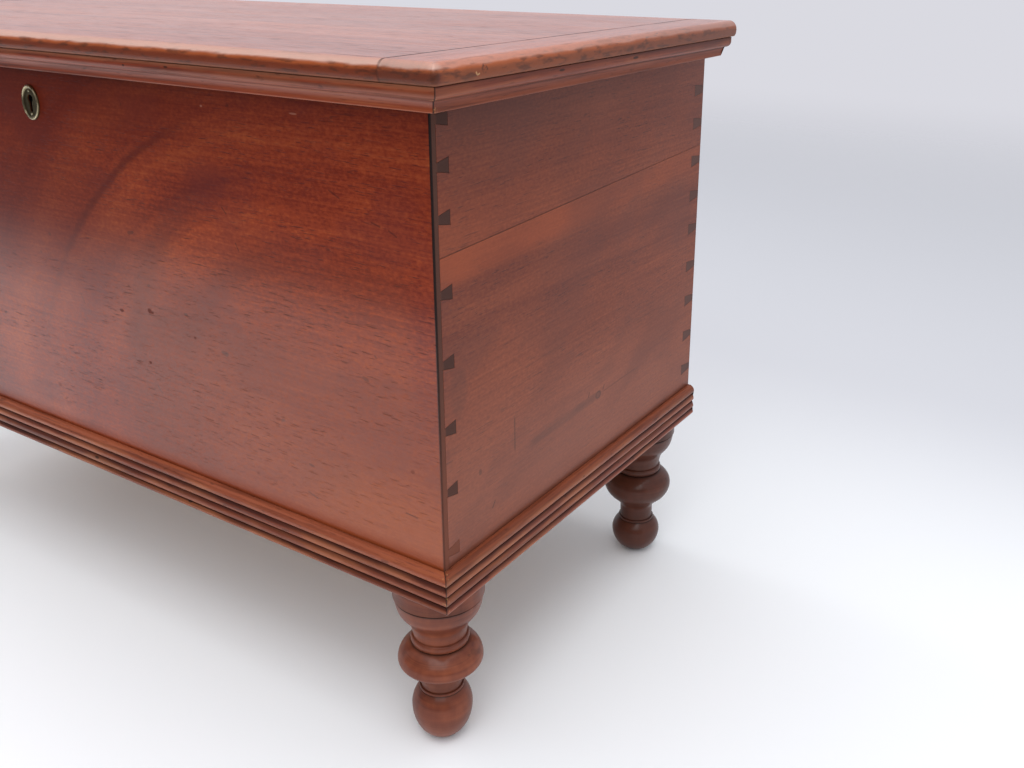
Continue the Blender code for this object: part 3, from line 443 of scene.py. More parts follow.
# Figure of the front by distance from the middle of its arches, and of the ends by distance from the seam
FRONT_BANDS = (
    (0, 0.6), (0.15, 0.62), (0.2, 0.5), (0.25, 0.4), (0.285, 0.62), (0.322, 0.4), (0.355, 0.66),
    (0.385, 0.5), (0.415, 0.74), (0.455, 0.34), (0.5, 0.44), (0.58, 0.52), (0.75, 0.42),
)
UPPER_BANDS = (0, 0.53), (0.03, 0.47), (0.055, 0.38), (0.08, 0.44), (0.11, 0.34), (0.14, 0.3)
LOWER_BANDS = (
    (0, 0.51), (0.012, 0.51), (0.026, 0.33), (0.036, 0.34), (0.048, 0.5), (0.062, 0.34), (0.085, 0.52),
    (0.15, 0.56), (0.21, 0.48), (0.29, 0.44),
)

# Marks of use: spots are (middle, middle, half length, half height) and strokes (start, start, stop, stop)
FRONT_CHIPS = (
    (0.0971, 0.3583, 0.0038, 0.002), (0.14, 0.366, 0.0038, 0.003), (0.1436, 0.365, 0.003, 0.0016),
    (0.1312, 0.3119, 0.0026, 0.0018), (0.2018, 0.3521, 0.002, 0.0014),
)
FRONT_NICKS = (
    (0.2695, 0.2347, 0.0024, 0.0018), (0.3026, 0.2972, 0.0046, 0.0016), (0.3787, 0.2995, 0.0022, 0.0012),
    (-0.029, 0.2505, 0.0034, 0.0022), (0.4545, 0.29, 0.0026, 0.0022), (0.194, 0.502, 0.006, 0.0018),
)
FRONT_FLECKS = (0.2431, 0.5648, 0.0018, 0.0011), (0.3491, 0.5674, 0.005, 0.0009)
FRONT_TICKS = (
    (0.2685, 0.4525, 0.2725, 0.4445), (0.3805, 0.5123, 0.3934, 0.506), (0.4231, 0.4922, 0.4335, 0.4895),
    (0.44, 0.4885, 0.4495, 0.4839), (0.2553, 0.4818, 0.2615, 0.4752), (0.332, 0.2352, 0.3455, 0.2314),
    (0.444, 0.2502, 0.459, 0.2486), (0.137, 0.291, 0.144, 0.282), (0.033, 0.365, 0.039, 0.352),
)
END_CRACKS = (
    (-0.1131, 0.3075, -0.1131, 0.272), (-0.148, 0.233, -0.143, 0.2395),
    (0.04, 0.2745, 0.043, 0.28), (0.012, 0.276, 0.014, 0.282),
)
LID_DENTS = (0.395, -0.075, 0.003, 0.0016), (0.352, 0.03, 0.0045, 0.0013), (0.2, -0.12, 0.004, 0.0012)
LID_CRACKS = (0.405, -0.201, 0.4655, -0.1965), (0.42, -0.238, 0.4668, -0.239)
LID_CHIP = (-0.2044, 0.6088, -0.203, 0.6064), (-0.203, 0.6062, -0.1996, 0.6072)
FLAWS = {
    "lip_moulding_front_wood": [(0.1906, 0.5972, 0.0018, 0.0012), (0.244, 0.599, 0.003, 0.001)],
    "base_moulding_front_wood": [(0.1741, 0.1786, 0.0034, 0.0018), (0.03, 0.185, 0.004, 0.0016)],
    "lip_moulding_end_wood": [(-0.09, 0.599, 0.005, 0.0012), (0.03, 0.5985, 0.006, 0.0014)],
}


def fibres(u, v, w, drift=0.012):
    """Three scales of grain: broad streaks, fine fibres and short dark pores, all drawn out along u."""
    wander = noise(u * 2.3, v * 6, w * 6)
    line = v + (wander - 0.5) * drift
    streak = noise(u * 3, line * 95, w * 95, 3)
    fine = noise(u * 11, line * 480, w * 480)
    pores = ramp(noise(u * 75, line * 950, w * 950, 1), 0.6, 0.74)
    return streak, fine, pores


def wood(u, v, w, figure, tones, streaks, pore_depth, texture=1):
    """Colour, height and breaks in the varnish of a wooden face: figure, streaks, fibres and a fine mottle
    choose a tone, and the pores darken it."""
    streak, fine, pores = fibres(u, v, w)
    mottle = noise(u * 260, v * 420, w * 420)
    detail = ((fine - 0.5) * 0.16 + (mottle - 0.5) * 0.2) * texture
    tone = figure * 0.62 + (streak - 0.5) * streaks + detail + 0.19
    patches = noise(u * 9, v * 30, w * 30)
    pores = pores * ramp(patches, 0.36, 0.56) * pore_depth
    colour = tint(pores, toned(tone, *tones), PORE)
    broken = greatest([pores, ramp(mottle, 0.46, 0.74) * 0.3])
    return colour, fine * 0.35 + streak * 0.25 - pores * 0.8, broken


def bare(u, v, w):
    """The colour of the boards where they have no finish."""
    streak, fine, _ = fibres(u, v, w)
    return toned(streak * 0.6 + fine * 0.4, *BARE_BOARD)


def smears(u, v, w):
    """Cloudy smears of old polish."""
    return noise(u * 7, v * 9, w * 7, 3)


def on_face(value, plane):
    """1 on the outer face that lies at a plane, and 0 behind it."""
    return ramp(value, plane - 0.0006, plane - 0.0002)


def between_ends(x):
    """1 between the inner faces of the two ends, and 0 in the joints."""
    return ramp(abs(x), X_END - END_BOARD, X_END - END_BOARD - 0.001)


def front_look():
    """The show face: nested arches of dark and bright figure, bare wood inside, end grain at the laps, and
    painted shade along its top, down its left side and in the keyhole.
    """
    look, root, (x, y, z) = new_look("front_wood")
    swirl = noise(x * 4, z * 5, y * 5)
    arch = (((x - 0.4) * 0.84) ** 2 + (z - 0.2) ** 2) ** 0.5
    bands = shaded(arch + (swirl - 0.5) * 0.05, *FRONT_BANDS)
    cloud = noise(x * 5, z * 10, y * 5, 3)
    rings = noise((arch + (swirl - 0.5) * 0.03) * 150, x * 3, z * 3)
    calm = 0.75 - ramp(x, 0.18, 0.02) * ramp(z, 0.42, 0.34) * 0.3
    figure = (bands - 0.5) * calm + cloud * 0.45 + 0.275
    figure = figure + (rings - 0.5) * (0.1 + ramp(z, 0.36, 0.46) * 0.14)
    colour, height, broken = wood(x, z, y, figure, FRONT_TONES, 0.06, 0.8, 1.8)
    vein = ramp(abs(arch + (swirl - 0.5) * 0.02 - 0.377), 0.006, 0.0005)
    vein = vein * ramp(x, 0.245, 0.17) * ramp(x, -0.06, 0.08)
    branch = strokes(x, z, 0.0026, [(0.128, 0.5445, 0.178, 0.538)])
    lean = arch - (z - 0.503) * 0.33 + (swirl - 0.5) * 0.012
    outer = ramp(abs(lean - 0.328), 0.016, 0.002) * ramp(z, 0.29, 0.34) * ramp(z, 0.53, 0.49)
    inner = ramp(abs(lean - 0.278), 0.014, 0.002) * ramp(z, 0.31, 0.36) * ramp(z, 0.48, 0.43)
    arcs = greatest([outer, inner * 0.8]) * ramp(x, 0.36, 0.28)
    bloom = ramp(noise(x * 10, z * 16, y * 9, 3), 0.5, 0.68)
    # Painted shade: the front is painted darker along its top, most towards the left, and down its left
    # side.
    shade = ramp(z, 0.42, 0.57) * (0.4 + ramp(x, 0.45, 0.05) * 0.32)
    shade = greatest([shade, ramp(x, 0.26, 0) * ramp(z, 0.3, 0.44) * 0.62])
    low_right = ramp(z, 0.41, 0.34) * ramp(x, 0.02, 0.24)
    warm = ramp(z, 0.5, 0.4) * ramp(x, 0.04, 0.14) * 0.11
    warm = warm + ramp(z, 0.31, 0.23) * ramp(x, 0.26, 0.42) * 0.25
    right_edge = ramp(x, 0.445, 0.475) * ramp(z, 0.3, 0.36)
    foot = ramp(z, Z_BASE_TOP + 0.016, Z_BASE_TOP + 0.002)
    chips, nicks = spots(x, z, FRONT_CHIPS), spots(x, z, FRONT_NICKS)
    ticks = greatest([strokes(x, z, 0.0011, FRONT_TICKS), nicks * 0.5])
    specks = ramp(noise(x * 60, z * 85, y * 60, 1), 0.75, 0.775)
    grime = ramp(z, Z_BASE_TOP + 0.004, Z_BASE_TOP) * 0.5 + ramp(z, Z_LIP - 0.012, Z_LIP) * 0.6
    ends = on_face(abs(x), X_END)
    old = ramp(z, Z_BASE_TOP + 0.02, Z_BASE_TOP + 0.24)
    pins = ramp(y, Y_FRONT + LAP - 0.0004, Y_FRONT + LAP + 0.002)
    grain = tint(old * (0.75 + cloud * 0.4), (0.17, 0.056, 0.034), (0.084, 0.036, 0.026))
    grain = tint(pins * ramp(z, Z_BASE_TOP + 0.02, Z_BASE_TOP + 0.06) * 0.8, grain, (0.06, 0.028, 0.022))
    corner = ramp(abs(x), X_END - 0.0016, X_END - 0.0006) * ramp(y, Y_FRONT + 0.001, Y_FRONT + 0.0004)
    arris = greatest([corner, ends * ramp(y, Y_FRONT + 0.0026, Y_FRONT + 0.0012)])
    inside = ramp(y, Y_FRONT + 0.012, Y_FRONT_IN - 0.003) * between_ends(x)
    # The keyhole cut through the board: its walls get painted shade, near black.
    keyhole = ramp(abs(x), 0.0075, 0.007) * ramp(abs(z - Z_KEYHOLE), 0.0155, 0.015)
    colour = layered(
        colour,
        (arcs * 0.42, (0.075, 0.012, 0.011)),
        (vein * 0.6 + branch * 0.25, (0.045, 0.0055, 0.0055)),
        (bloom * 0.32, (0.105, 0.018, 0.017)),
        # painted shade along the top and down the left side
        (shade, (0.085, 0.0085, 0.0036)),
        (low_right * 0.42, (0.13, 0.024, 0.012)),
        (warm * (1 - right_edge), (0.42, 0.11, 0.026)),
        (foot * 0.55, (0.23, 0.042, 0.012)),
        (chips * 0.8, (0.085, 0.014, 0.007)),
        (ticks * 0.5, (0.03, 0.009, 0.007)),
        (spots(x, z, FRONT_FLECKS) * 0.3, (0.42, 0.23, 0.15)),
        (specks * 0.4, OLD_DIRT),
        (grime * noise(x * 30, z * 60, y) * 1.1, OLD_DIRT),
        (ends, grain),
        (arris * (0.4 + old * 0.55), (0.01, 0.006, 0.005)),
        (inside, bare(x, z, y)),
        # painted shade: the keyhole's walls near black
        (keyhole * ramp(y, Y_FRONT + 0.0001, Y_FRONT + 0.0006), (0.004, 0.003, 0.003)),
    )
    smear = smears(x, z, y)
    roughness = 0.3 + smear * 0.16 + inside * 0.3 + ends * 0.25
    dull = greatest([chips, keyhole, foot * 0.7, nicks * 0.5, broken])
    thin = ramp(x, 0.16, 0.02) * ramp(z, 0.34, 0.42)
    coat = (0.78 - thin * 0.34) * (1 - ends * 0.95) * (1 - dull * 0.9) * (0.86 + smear * 0.28)
    varnished(root, colour, roughness, height, 0.00014, coat, 0.08)
    return look


def end_marks(y, z, cloud):
    """Wear on the lower board of the right end, as layers of colour: smears, then cracks and two knots."""
    soiled = greatest([
        strokes(y, z, 0.006, [(-0.095, 0.269, 0.036, 0.273)]) * (0.3 + cloud),
        spots(y, z, [(-0.19, 0.358, 0.013, 0.026)]) * 0.5,
        spots(y, z, [(-0.003, 0.2725, 0.014, 0.0052), (0.031, 0.2728, 0.007, 0.005)]),
    ])
    ring = abs(((y - 0.031) ** 2 + (z - 0.2728) ** 2 * 1.8) ** 0.5 - 0.0042)
    knots = greatest([ramp(ring, 0.0016, 0.0004), spots(y, z, [(-0.1638, 0.2753, 0.0026, 0.0034)])])
    shake = strokes(y, z, 0.001, [(0.036, 0.2728, 0.1125, 0.2742)])
    broken = greatest([strokes(y, z, 0.0008, END_CRACKS), shake * 0.35, knots * 0.5])
    return (soiled * 0.4, (0.05, 0.022, 0.018)), (broken * 0.8, OLD_DIRT)


def end_look(name, sign, upper):
    """An end of the case: an orange band under the seam, darker bands that lean away from it, wear, and
    painted shade below the lip moulding.
    """
    look, root, (x, y, z) = new_look(name)
    back = y - Y_FRONT
    above = z - SEAM_LOW - (back - LAP) * (SEAM_RISE / (Y_BACK - Y_FRONT - LAP))
    swirl = noise(y * 4, z * 6, x * 4 + sign)
    if upper:
        bands = shaded(above + (swirl - 0.5) * 0.05, *UPPER_BANDS)
        glow = ramp(back, 0.22, 0.03) * ramp(above, 0.075, 0.01) * 0.25
    else:
        bands = shaded(back * -0.05 - above + (swirl - 0.5) * 0.035, *LOWER_BANDS)
        glow = ramp(above, -0.033, -0.018) * (0.22 + ramp(back, 0.34, 0.05) * 0.42)
    cloud = noise(y * 6, z * 11, x + 3.1 * sign, 3)
    figure = bands * 0.8 + cloud * 0.45 - 0.12
    colour, height, _ = wood(y, z, x, figure, END_TONES, 0.07, 0.6, 1.8)
    bloom = ramp(noise(y * 10 - z * 6, z * 15, x * 9, 3), 0.5, 0.68)
    seam = ramp(abs(above), 0.0009, 0.0002) * (0.15 + ramp(back, 0.4, 0.15) * 0.28)
    # Painted shade: darker below the lip moulding, most towards the front.
    dull = ramp(z, Z_LIP - 0.075, Z_LIP) * ramp(back, 0.44, 0.16)
    grime = ramp(z, Z_BASE_TOP + 0.01, Z_BASE_TOP) * noise(y * 30, z * 60, x)
    tails = on_face(y, Y_BACK)
    inside = ramp(abs(x), X_END - 0.01, X_END - END_BOARD + 0.002) * (1 - tails)
    colour = layered(
        colour,
        (ramp(z, 0.38, 0.24) * 0.35, (0.33, 0.11, 0.062)),
        (glow * (cloud * 2.2 - 0.2), (0.31, 0.062, 0.018)),
        (bloom * 0.28, (0.105, 0.029, 0.02)),
        *(end_marks(y, z, cloud) if sign > 0 and not upper else ()),
        (seam, OLD_DIRT),
        # painted shade below the lip moulding
        (dull * 0.45, (0.085, 0.026, 0.017)),
        (grime * 0.66, OLD_DIRT),
        (tails * 0.85, END_GRAIN),
        (inside, bare(y, z, x)),
    )
    roughness = 0.36 + smears(y, z, x) * 0.18 + inside * 0.3 + tails * 0.2
    varnished(root, colour, roughness, height, 0.00013, 0.16)
    return look


def back_look():
    """The back board: plainer and duller than the front, with dark pins and a bare inner face."""
    look, root, (x, y, z) = new_look("back_wood")
    colour, height, _ = wood(x, z, y, noise(z * 9, x * 1.1, y), BACK_TONES, 0.3, 0.5)
    pins = on_face(abs(x), X_END)
    inside = ramp(y, Y_BACK - 0.012, Y_BACK_IN + 0.003) * between_ends(x)
    colour = layered(colour, (pins * 0.9, (0.102, 0.042, 0.031)), (inside, bare(x, z, y)))
    roughness = 0.45 + smears(x, z, y) * 0.2 + inside * 0.2
    varnished(root, colour, roughness, height, 0.00014, 0.1)
    return look


def lid_look(name, along):
    """The lid: even straight figure under a bright varnish, a chafed nose painted in bands of highlight and
    shade, and bare wood underneath.
    """
    look, root, (x, y, z) = new_look(name)
    u, v = (x, y) if along == "x" else (y, x)
    bands = noise(v * 14, u * 0.9, z * 3)
    colour, height, _ = wood(u, v, z, bands, LID_TONES, 0.3, 0.75)
    dashes = ramp(noise(u * 40, v * 260, z, 3), 0.54, 0.66)
    nose, front = mark(root, "nose"), ramp(y, Y_NOSE + 0.012, Y_NOSE + 0.004)
    worn = noise(u * 40, v * 60, z * 170, 3)
    fall = Z_TOP - z + (worn - 0.5) * 0.003
    # Painted light on the nose, strongest on the front: a pale painted highlight high on its round, an
    # orange band under it and painted shade on its lower part.
    nose_highlight = ramp(fall, 0.0062, 0.0036) * (0.4 + front * 0.45)
    lower = ramp(fall, 0.0056, 0.0084) * (0.55 + front * 0.35)
    chafe = ramp(noise(u * 70, v * 90, z * 260, 3), 0.5, 0.68) * ramp(fall, 0.0025, 0.006)
    corner = ramp(X_NOSE - abs(x) + y - Y_NOSE, 0.007, 0.0024) * ramp(fall, 0.002, 0.007)
    right = ramp(x, 0.508, 0.512)
    dent = spots(y, z, [(-0.194, 0.61, 0.0046, 0.004)]) * right
    dent = dent * ramp(noise(x * 500, y * 500, z * 300), 0.4, 0.6)
    seam = ramp(abs(abs(x) - X_CAP_SEAM), 0.0016, 0.0007) * ramp(noise(y * 9, x, z, 1), 0.3, 0.45)
    seam = seam * (1 - nose * 0.85)
    open_grain = greatest([strokes(x, y, 0.0007, LID_CRACKS), spots(x, y, LID_DENTS) * 0.6, seam])
    under = ramp(z, Z_LID + 0.003, Z_LID + 0.0008)
    colour = layered(
        colour,
        (dashes * 0.35, PORE),
        (nose * nose_highlight, (0.6, 0.39, 0.32)),
        (nose * ramp(fall, 0.0036, 0.006) * 0.75, (0.3, 0.072, 0.018)),
        (nose * lower, tint(front, (0.12, 0.034, 0.015), (0.125, 0.022, 0.008))),
        (nose * chafe * 0.62, (0.05, 0.016, 0.009)),
        (nose * (1 - front) * ramp(y, -0.15, 0.2) * 0.35, (0.09, 0.032, 0.02)),
        (corner * 0.6, (0.05, 0.018, 0.011)),
        (dent * 0.75, (0.045, 0.013, 0.008)),
        (strokes(y, z, 0.0009, LID_CHIP) * right * 0.65, (0.56, 0.33, 0.15)),
        # painted highlight along the nose's lower arris
        (nose * ramp(z, Z_LID + 0.0022, Z_LID + 0.001) * 0.5, (0.25, 0.09, 0.05)),
        (mark(root, "end_grain") * 0.35, END_GRAIN),
        (seam * 0.9, OLD_DIRT),
        (open_grain * 0.75, OLD_DIRT),
        (under * (1 - nose), bare(u, v, z)),
    )
    smear = noise(x * 6, y * 6, z, 3)
    patchy = noise(u * 9, v * 55, z, 4, 0.65)
    roughness = 0.26 + smear * 0.14 + under * 0.25 + open_grain * 0.5 + nose * 0.06
    dull = greatest([open_grain, nose * ramp(fall, 0.003, 0.0065) * 0.75, corner * 0.8, dashes * 0.4])
    varnished(root, colour, roughness, height, 0.00012, 0.56 * (1 - dull) * (0.55 + patchy * 0.95))
    return look


def moulding_look(name, along, level, rise, bands):
    """Run mouldings: bands of colour by height with painted highlights and shade in them, straight grain,
    dirt in the hollows, worn crests with a painted highlight, wear at the mitres.
    """
    look, root, (x, y, z) = new_look(name)
    u, v = (x, y) if along == "x" else (y, x)
    streak, fine, pores = fibres(u, z, v, 0.004)
    worn = noise(u * 16, v * 60, z * 90, 3)
    grain = streak * 0.6 + fine * 0.4
    rub, dirt = mark(root, "rub"), mark(root, "dirt")
    stains = ramp(noise(u * 60, v * 140, z * 190), 0.66, 0.74)
    mitre = abs(abs(x) - X_END + y - Y_FRONT)
    nicks = ramp(noise(x * 330, y * 330, z * 330, 1), 0.62, 0.68) * ramp(mitre, 0.006, 0.001)
    colour = layered(
        toned((z - level + (worn - 0.5) * 0.0009) / rise, *bands),
        (ramp(grain, 0.54, 0.36) * 0.55, PORE),
        (ramp(grain, 0.52, 0.68) * 0.3, (0.4, 0.13, 0.048)),
        (pores * 0.35, PORE),
        # Lighter on the crests: wear on them, and a painted highlight along them.
        (rub * ramp(worn, 0.42, 0.66) * 0.45, (0.4, 0.135, 0.052)),
        (dirt * (0.55 + worn * 0.7), OLD_DIRT),
        (stains * 0.4, OLD_DIRT),
        *([(spots(u, z, FLAWS[name]) * 0.8, OLD_DIRT)] if name in FLAWS else []),
        (ramp(mitre, 0.0011, 0.0003) * 0.75, OLD_DIRT),
        (nicks * 0.4, (0.52, 0.27, 0.11)),
    )
    roughness = 0.32 + worn * 0.16 + dirt * 0.25
    varnished(root, colour, roughness, grain - pores * 0.5, 0.00013, 0.05 + rub * 0.27, 0.1)
    return look


def foot_look(name, axis_x, axis_y, age_and_shade):
    """A turned foot: a clouded brown darkened by years and, on the back feet, by painted shade; the tool's
    level streaks, dark lines in the quirks with a painted shadow in the collar groove, and bruises.
    """
    look, root, (x, y, z) = new_look(name)
    across, deep = x - axis_x, y - axis_y
    cloud = noise(across * 28, deep * 28, z * 30, 3)
    streak = noise(across * 14, deep * 14, z * 260, 3)
    grain = noise(across * 160, deep * 160, z * 14)
    lathe = noise(z * 1100, across * 9, deep * 9)
    bruise = ramp(noise(across * 75, deep * 75, z * 90), 0.69, 0.76)
    dirt = mark(root, "dirt")
    colour = layered(
        toned(cloud * 0.62 + streak * 0.34 + grain * 0.22 - 0.09, *FOOT_TONES),
        # darkened by years, and on the back feet by painted shade
        (age_and_shade * (0.3 + cloud * 0.6), (0.045, 0.016, 0.011)),
        (ramp(lathe, 0.56, 0.72) * 0.22, OLD_DIRT),
        (dirt * (0.55 + cloud * 0.6), OLD_DIRT),
        (bruise * 0.3, OLD_DIRT),
    )
    roughness = 0.38 + cloud * 0.16 + dirt * 0.2
    varnished(root, colour, roughness, streak * 0.4 + lathe * 0.3, 0.0001, 0.27)
    return look


def bare_look(name, along):
    """Unfinished softwood of the bottom and the blocks, with growth bands and grey handling marks."""
    look, root, (x, y, z) = new_look(name)
    u, v, w = {"x": (x, y, z), "z": (z, x, y)}[along]
    streak, fine, pores = fibres(u, v, w)
    bands = noise(v * 30, u, w * 30)
    smudge = ramp(noise(u * 8, v * 8, w * 8, 3), 0.5, 0.7)
    colour = toned(bands * 0.45 + streak * 0.35 + fine * 0.2, *BARE_PINE)
    colour = tint(smudge * 0.45, colour, (0.11, 0.07, 0.04))
    surface(root, colour, 0.7 + smudge * 0.1, fine * 0.6 + streak * 0.4 - pores * 0.3, 0.0003)
    return look


def brass_look():
    """Old brass: brown in the dish and bright where rubbing has worn the rim and the pins."""
    look, root, (x, y, z) = new_look("old_brass")
    cloud = noise(x * 300, y * 300, z * 300, 3)
    bright = mark(root, "rub") * ramp(cloud, 0.18, 0.55)
    age_spots = ramp(noise(x * 900, y * 900, z * 900), 0.6, 0.72)
    colour = tint(bright, (0.1, 0.066, 0.028), (0.64, 0.56, 0.36))
    colour = tint(age_spots * 0.4, colour, (0.03, 0.022, 0.014))
    surface(root, colour, 0.46 - bright * 0.2, cloud, 0.00003, metallic=1)
    return look


def iron_look():
    """Dark iron with brown bloom and faint filing lines."""
    look, root, (x, y, z) = new_look("old_iron")
    cloud = noise(x * 130, y * 130, z * 130, 4, 0.6)
    filed = noise(x * 60, y * 2500, z * 2500)
    tones = (0.35, (0.05, 0.047, 0.045)), (0.55, (0.11, 0.1, 0.092)), (0.75, (0.19, 0.176, 0.165))
    bloom = ramp(noise(x * 55, y * 55, z * 55, 4), 0.52, 0.66)
    colour = tint(bloom * 0.65, toned(cloud, *tones), (0.105, 0.045, 0.022))
    height = cloud * 0.7 + filed * 0.3
    surface(root, colour, 0.4 + bloom * 0.35, height, 0.00008, metallic=1 - bloom * 0.8)
    return look


# Mouldings: a profile of (out from the case, up) points carried along a side, mitred at the front corners
def base_profile():
    """Reeds that are fullest near their lower edges, under one with a sloping, rounded top."""
    bulge = BASE_OUT - BASE_VALLEY
    runs = [[(FIT, 0.0)]]
    for bottom, top in zip(VALLEYS, VALLEYS[1:]):
        widest = bottom + (top - bottom) * REED_FULLEST
        runs.append(arc((BASE_VALLEY, widest), (bulge, widest - bottom), -90, 0, 9)[:-1])
        runs.append(arc((BASE_VALLEY, widest), (bulge, top - widest), 0, 90, 11)[:-1])
    widest = VALLEYS[-1] + BASE_TOP_WIDEST
    runs.append(arc((BASE_VALLEY, widest), (bulge, BASE_TOP_WIDEST), -90, 0, 9)[:-1])
    slope = (BASE_OUT - BASE_TOP_LEDGE, BASE_TOP_REED - BASE_TOP_WIDEST)
    runs.append(arc((BASE_TOP_LEDGE, widest), slope, 0, 90, 13))
    return np.concatenate([*runs, [(FIT, BASE_HEIGHT), (FIT, 0.0)]])


def base_tints(*lights):
    """Colours up the base: on each reed, a painted highlight in orange at its fullest line and darker up to
    the next valley, all scaled by a painted light for each reed."""
    crest, body, shade = np.array([(0.295, 0.077, 0.036), (0.185, 0.043, 0.022), (0.080, 0.022, 0.014)])
    stops = []
    for bottom, top, light in zip(VALLEYS, VALLEYS[1:], lights):
        for share, colour in ((0.02, body), (0.34, crest), (0.58, body), (0.88, shade)):
            stops.append(((bottom + (top - bottom) * share) / BASE_HEIGHT, tuple(colour * light)))
    rise = BASE_TOP_REED / BASE_HEIGHT
    for share, colour in ((0.02, body), (0.32, crest), (0.60, (crest + body) / 2), (0.98, crest)):
        stops.append((1 - rise + rise * share, tuple(colour * lights[-1])))
    return stops


def lip_profile():
    """A band over a round, a small step, a hollow face that slopes in, and a soft lower arris."""
    top = LIP_HEIGHT - FIT
    round_top = LIP_HEIGHT - LIP_BAND
    face = np.linspace(0.08, 1, 9)
    hollow = LIP_HOLLOW * np.sin(np.pi * face)
    slope = points(LIP_FOOT_OUT + (LIP_STEP_OUT - LIP_FOOT_OUT) * face - hollow, LIP_STEP_UP * face)
    radii = (LIP_OUT - LIP_ROUND_OUT, round_top - LIP_STEP_UP)
    return np.concatenate([
        [(LIP_IN, 0.0)],
        arc((LIP_FOOT_OUT - LIP_ARRIS, LIP_ARRIS), (LIP_ARRIS, LIP_ARRIS), -90, 0, 5),
        slope,
        arc((LIP_ROUND_OUT, round_top), radii, -90, 0, 15),
        arc((LIP_OUT - LIP_ARRIS, top - LIP_ARRIS), (LIP_ARRIS, LIP_ARRIS), 0, 90, 5),
        [(LIP_IN, top), (LIP_IN, 0.0)],
    ])


# Colours up the lip from its lower arris (0) to its top (1): the wood's red-brown with painted highlights
# on the lower arris, the round and the upper part of the hollow face, and a darker line at the step. On the
# front the top band is painted lighter in the shade of the lid's nose; on the ends it is darker.
LIP_FRONT_COLOUR_AND_LIGHT = (
    (0.00, (0.360, 0.130, 0.080)),
    (0.06, (0.220, 0.034, 0.010)),
    (0.18, (0.210, 0.034, 0.009)),
    (0.40, (0.300, 0.115, 0.085)),
    (0.47, (0.190, 0.056, 0.040)),
    (0.55, (0.280, 0.100, 0.072)),
    (0.66, (0.240, 0.070, 0.046)),
    (0.80, (0.180, 0.026, 0.009)),
    (0.97, (0.240, 0.080, 0.040)),
)
LIP_END_COLOUR_AND_LIGHT = (
    (0.00, (0.260, 0.075, 0.040)),
    (0.10, (0.235, 0.056, 0.024)),
    (0.40, (0.220, 0.060, 0.034)),
    (0.47, (0.110, 0.026, 0.014)),
    (0.58, (0.240, 0.070, 0.043)),
    (0.80, (0.175, 0.040, 0.021)),
    (0.97, (0.150, 0.036, 0.021)),
)


def moulding(name, body, profile, level, back_end, marks, tints, seed):
    """Front and end strips. A point's place along its strip is a share of a length that grows with the
    distance out from the case, which makes the mitre, and its distance out is worn a little unevenly."""
    out, up = profile.T
    rise = up.max()
    share = np.linspace(0, 1, STRIP_STEPS)[:, None]
    wear = STRIP_WEAR * marks["rub"]

    def strip(side, look, grid):
        node = f"{name}_{side}"
        piece(f"{node}_run", capped(grid, marks), look, body, [node])

    front_x = (2 * share - 1) * (X_END + out - FIT / 2)
    worn = out - wear * waver(front_x, seed, 0.11)
    look = moulding_look(f"{name}_front_wood", "x", level, rise, tints[0])
    strip("front", look, points(front_x, Y_FRONT - worn, level + up))
    look = moulding_look(f"{name}_end_wood", "y", level, rise, tints[1])
    for side, sign in SIDES:
        front = Y_FRONT - out + FIT / 2
        end_y = front + (back_end - front) * share
        worn = out - wear * waver(end_y, seed + 2 + sign, 0.09)
        strip(side, look, points(sign * (X_END + worn), end_y, level + up))


base = base_profile()
crest = np.clip((base[:, 0] - BASE_VALLEY) / (BASE_OUT - BASE_VALLEY), 0, 1)
shown = (base[:, 0] > BASE_VALLEY - FIT) & (base[:, 1] > FIT)
base_marks = {"rub": crest**3, "dirt": shown * (1 - crest) ** 3 * (base[:, 1] < BASE_HEIGHT - 0.004)}
# Painted light for each reed, from the bottom: the lower reeds of the front and the upper reeds of the ends
# are painted darker.
base_colours = base_tints(0.64, 0.84, 0.94, 0.98), base_tints(1.0, 0.92, 0.86, 0.77)
moulding("base_moulding", "case", base, Z_CASE, Y_BACK, base_marks, base_colours, 11)

lip = lip_profile()
rounded = np.clip((lip[:, 0] - LIP_ROUND_OUT) / (LIP_OUT - LIP_ROUND_OUT), 0, 1)
step = np.exp(-(((lip[:, 1] - LIP_STEP_UP) / 0.0007) ** 2)) * (lip[:, 0] > LIP_STEP_OUT - FIT)
joint = np.clip((lip[:, 1] - LIP_HEIGHT + 0.0016) / 0.0013, 0, 1) * (lip[:, 0] > LIP_IN + FIT)
lip_marks = {"rub": rounded * (1 - joint) * 0.4, "dirt": np.clip(0.25 * step + 0.4 * joint, 0, 1)}
lip_colours = LIP_FRONT_COLOUR_AND_LIGHT, LIP_END_COLOUR_AND_LIGHT
moulding("lip_moulding", "lid", lip, Z_LIP, high("lip_moulding_right").y, lip_marks, lip_colours, 23)


# Lid
def nose_top(inside):
    """Height of the upper face over the lid's underside: a quarter ellipse, then flat."""
    run = np.clip((NOSE_DEPTH - inside) / NOSE_DEPTH, 0, 1)
    return NOSE_LOW + (LID_THICKNESS - NOSE_LOW) * np.sqrt(1 - run**2)


def nose_under(inside):
    """Height of the lower face: a smaller quarter ellipse that tucks in below the nose, then flat."""
    run = np.clip((NOSE_TUCK - inside) / NOSE_TUCK, 0, 1)
    return NOSE_LOW * (1 - np.sqrt(1 - run**2))


def spaced(depth, stop, near, far):
    """Distances from an edge: close together on the round near it, then even up to the far side."""
    curved = depth * (1 - np.cos(np.linspace(0, np.pi / 2, near)))
    return np.concatenate([curved, np.linspace(depth, stop, far)[1:]])


def nose_mark(inside):
    """1 on the nose and 0 on the flat: the square root of the share of the nose's depth that is left."""
    return np.clip(1 - inside / NOSE_DEPTH, 0, 1) ** 0.5


def with_walls(values, *walls):
    """A rising list of places with a pair close round each wall of a recess."""
    pairs = [w + d for w in walls for d in (-STEP_WIDTH / 2, STEP_WIDTH / 2)]
    return np.unique(np.concatenate([values, pairs]))


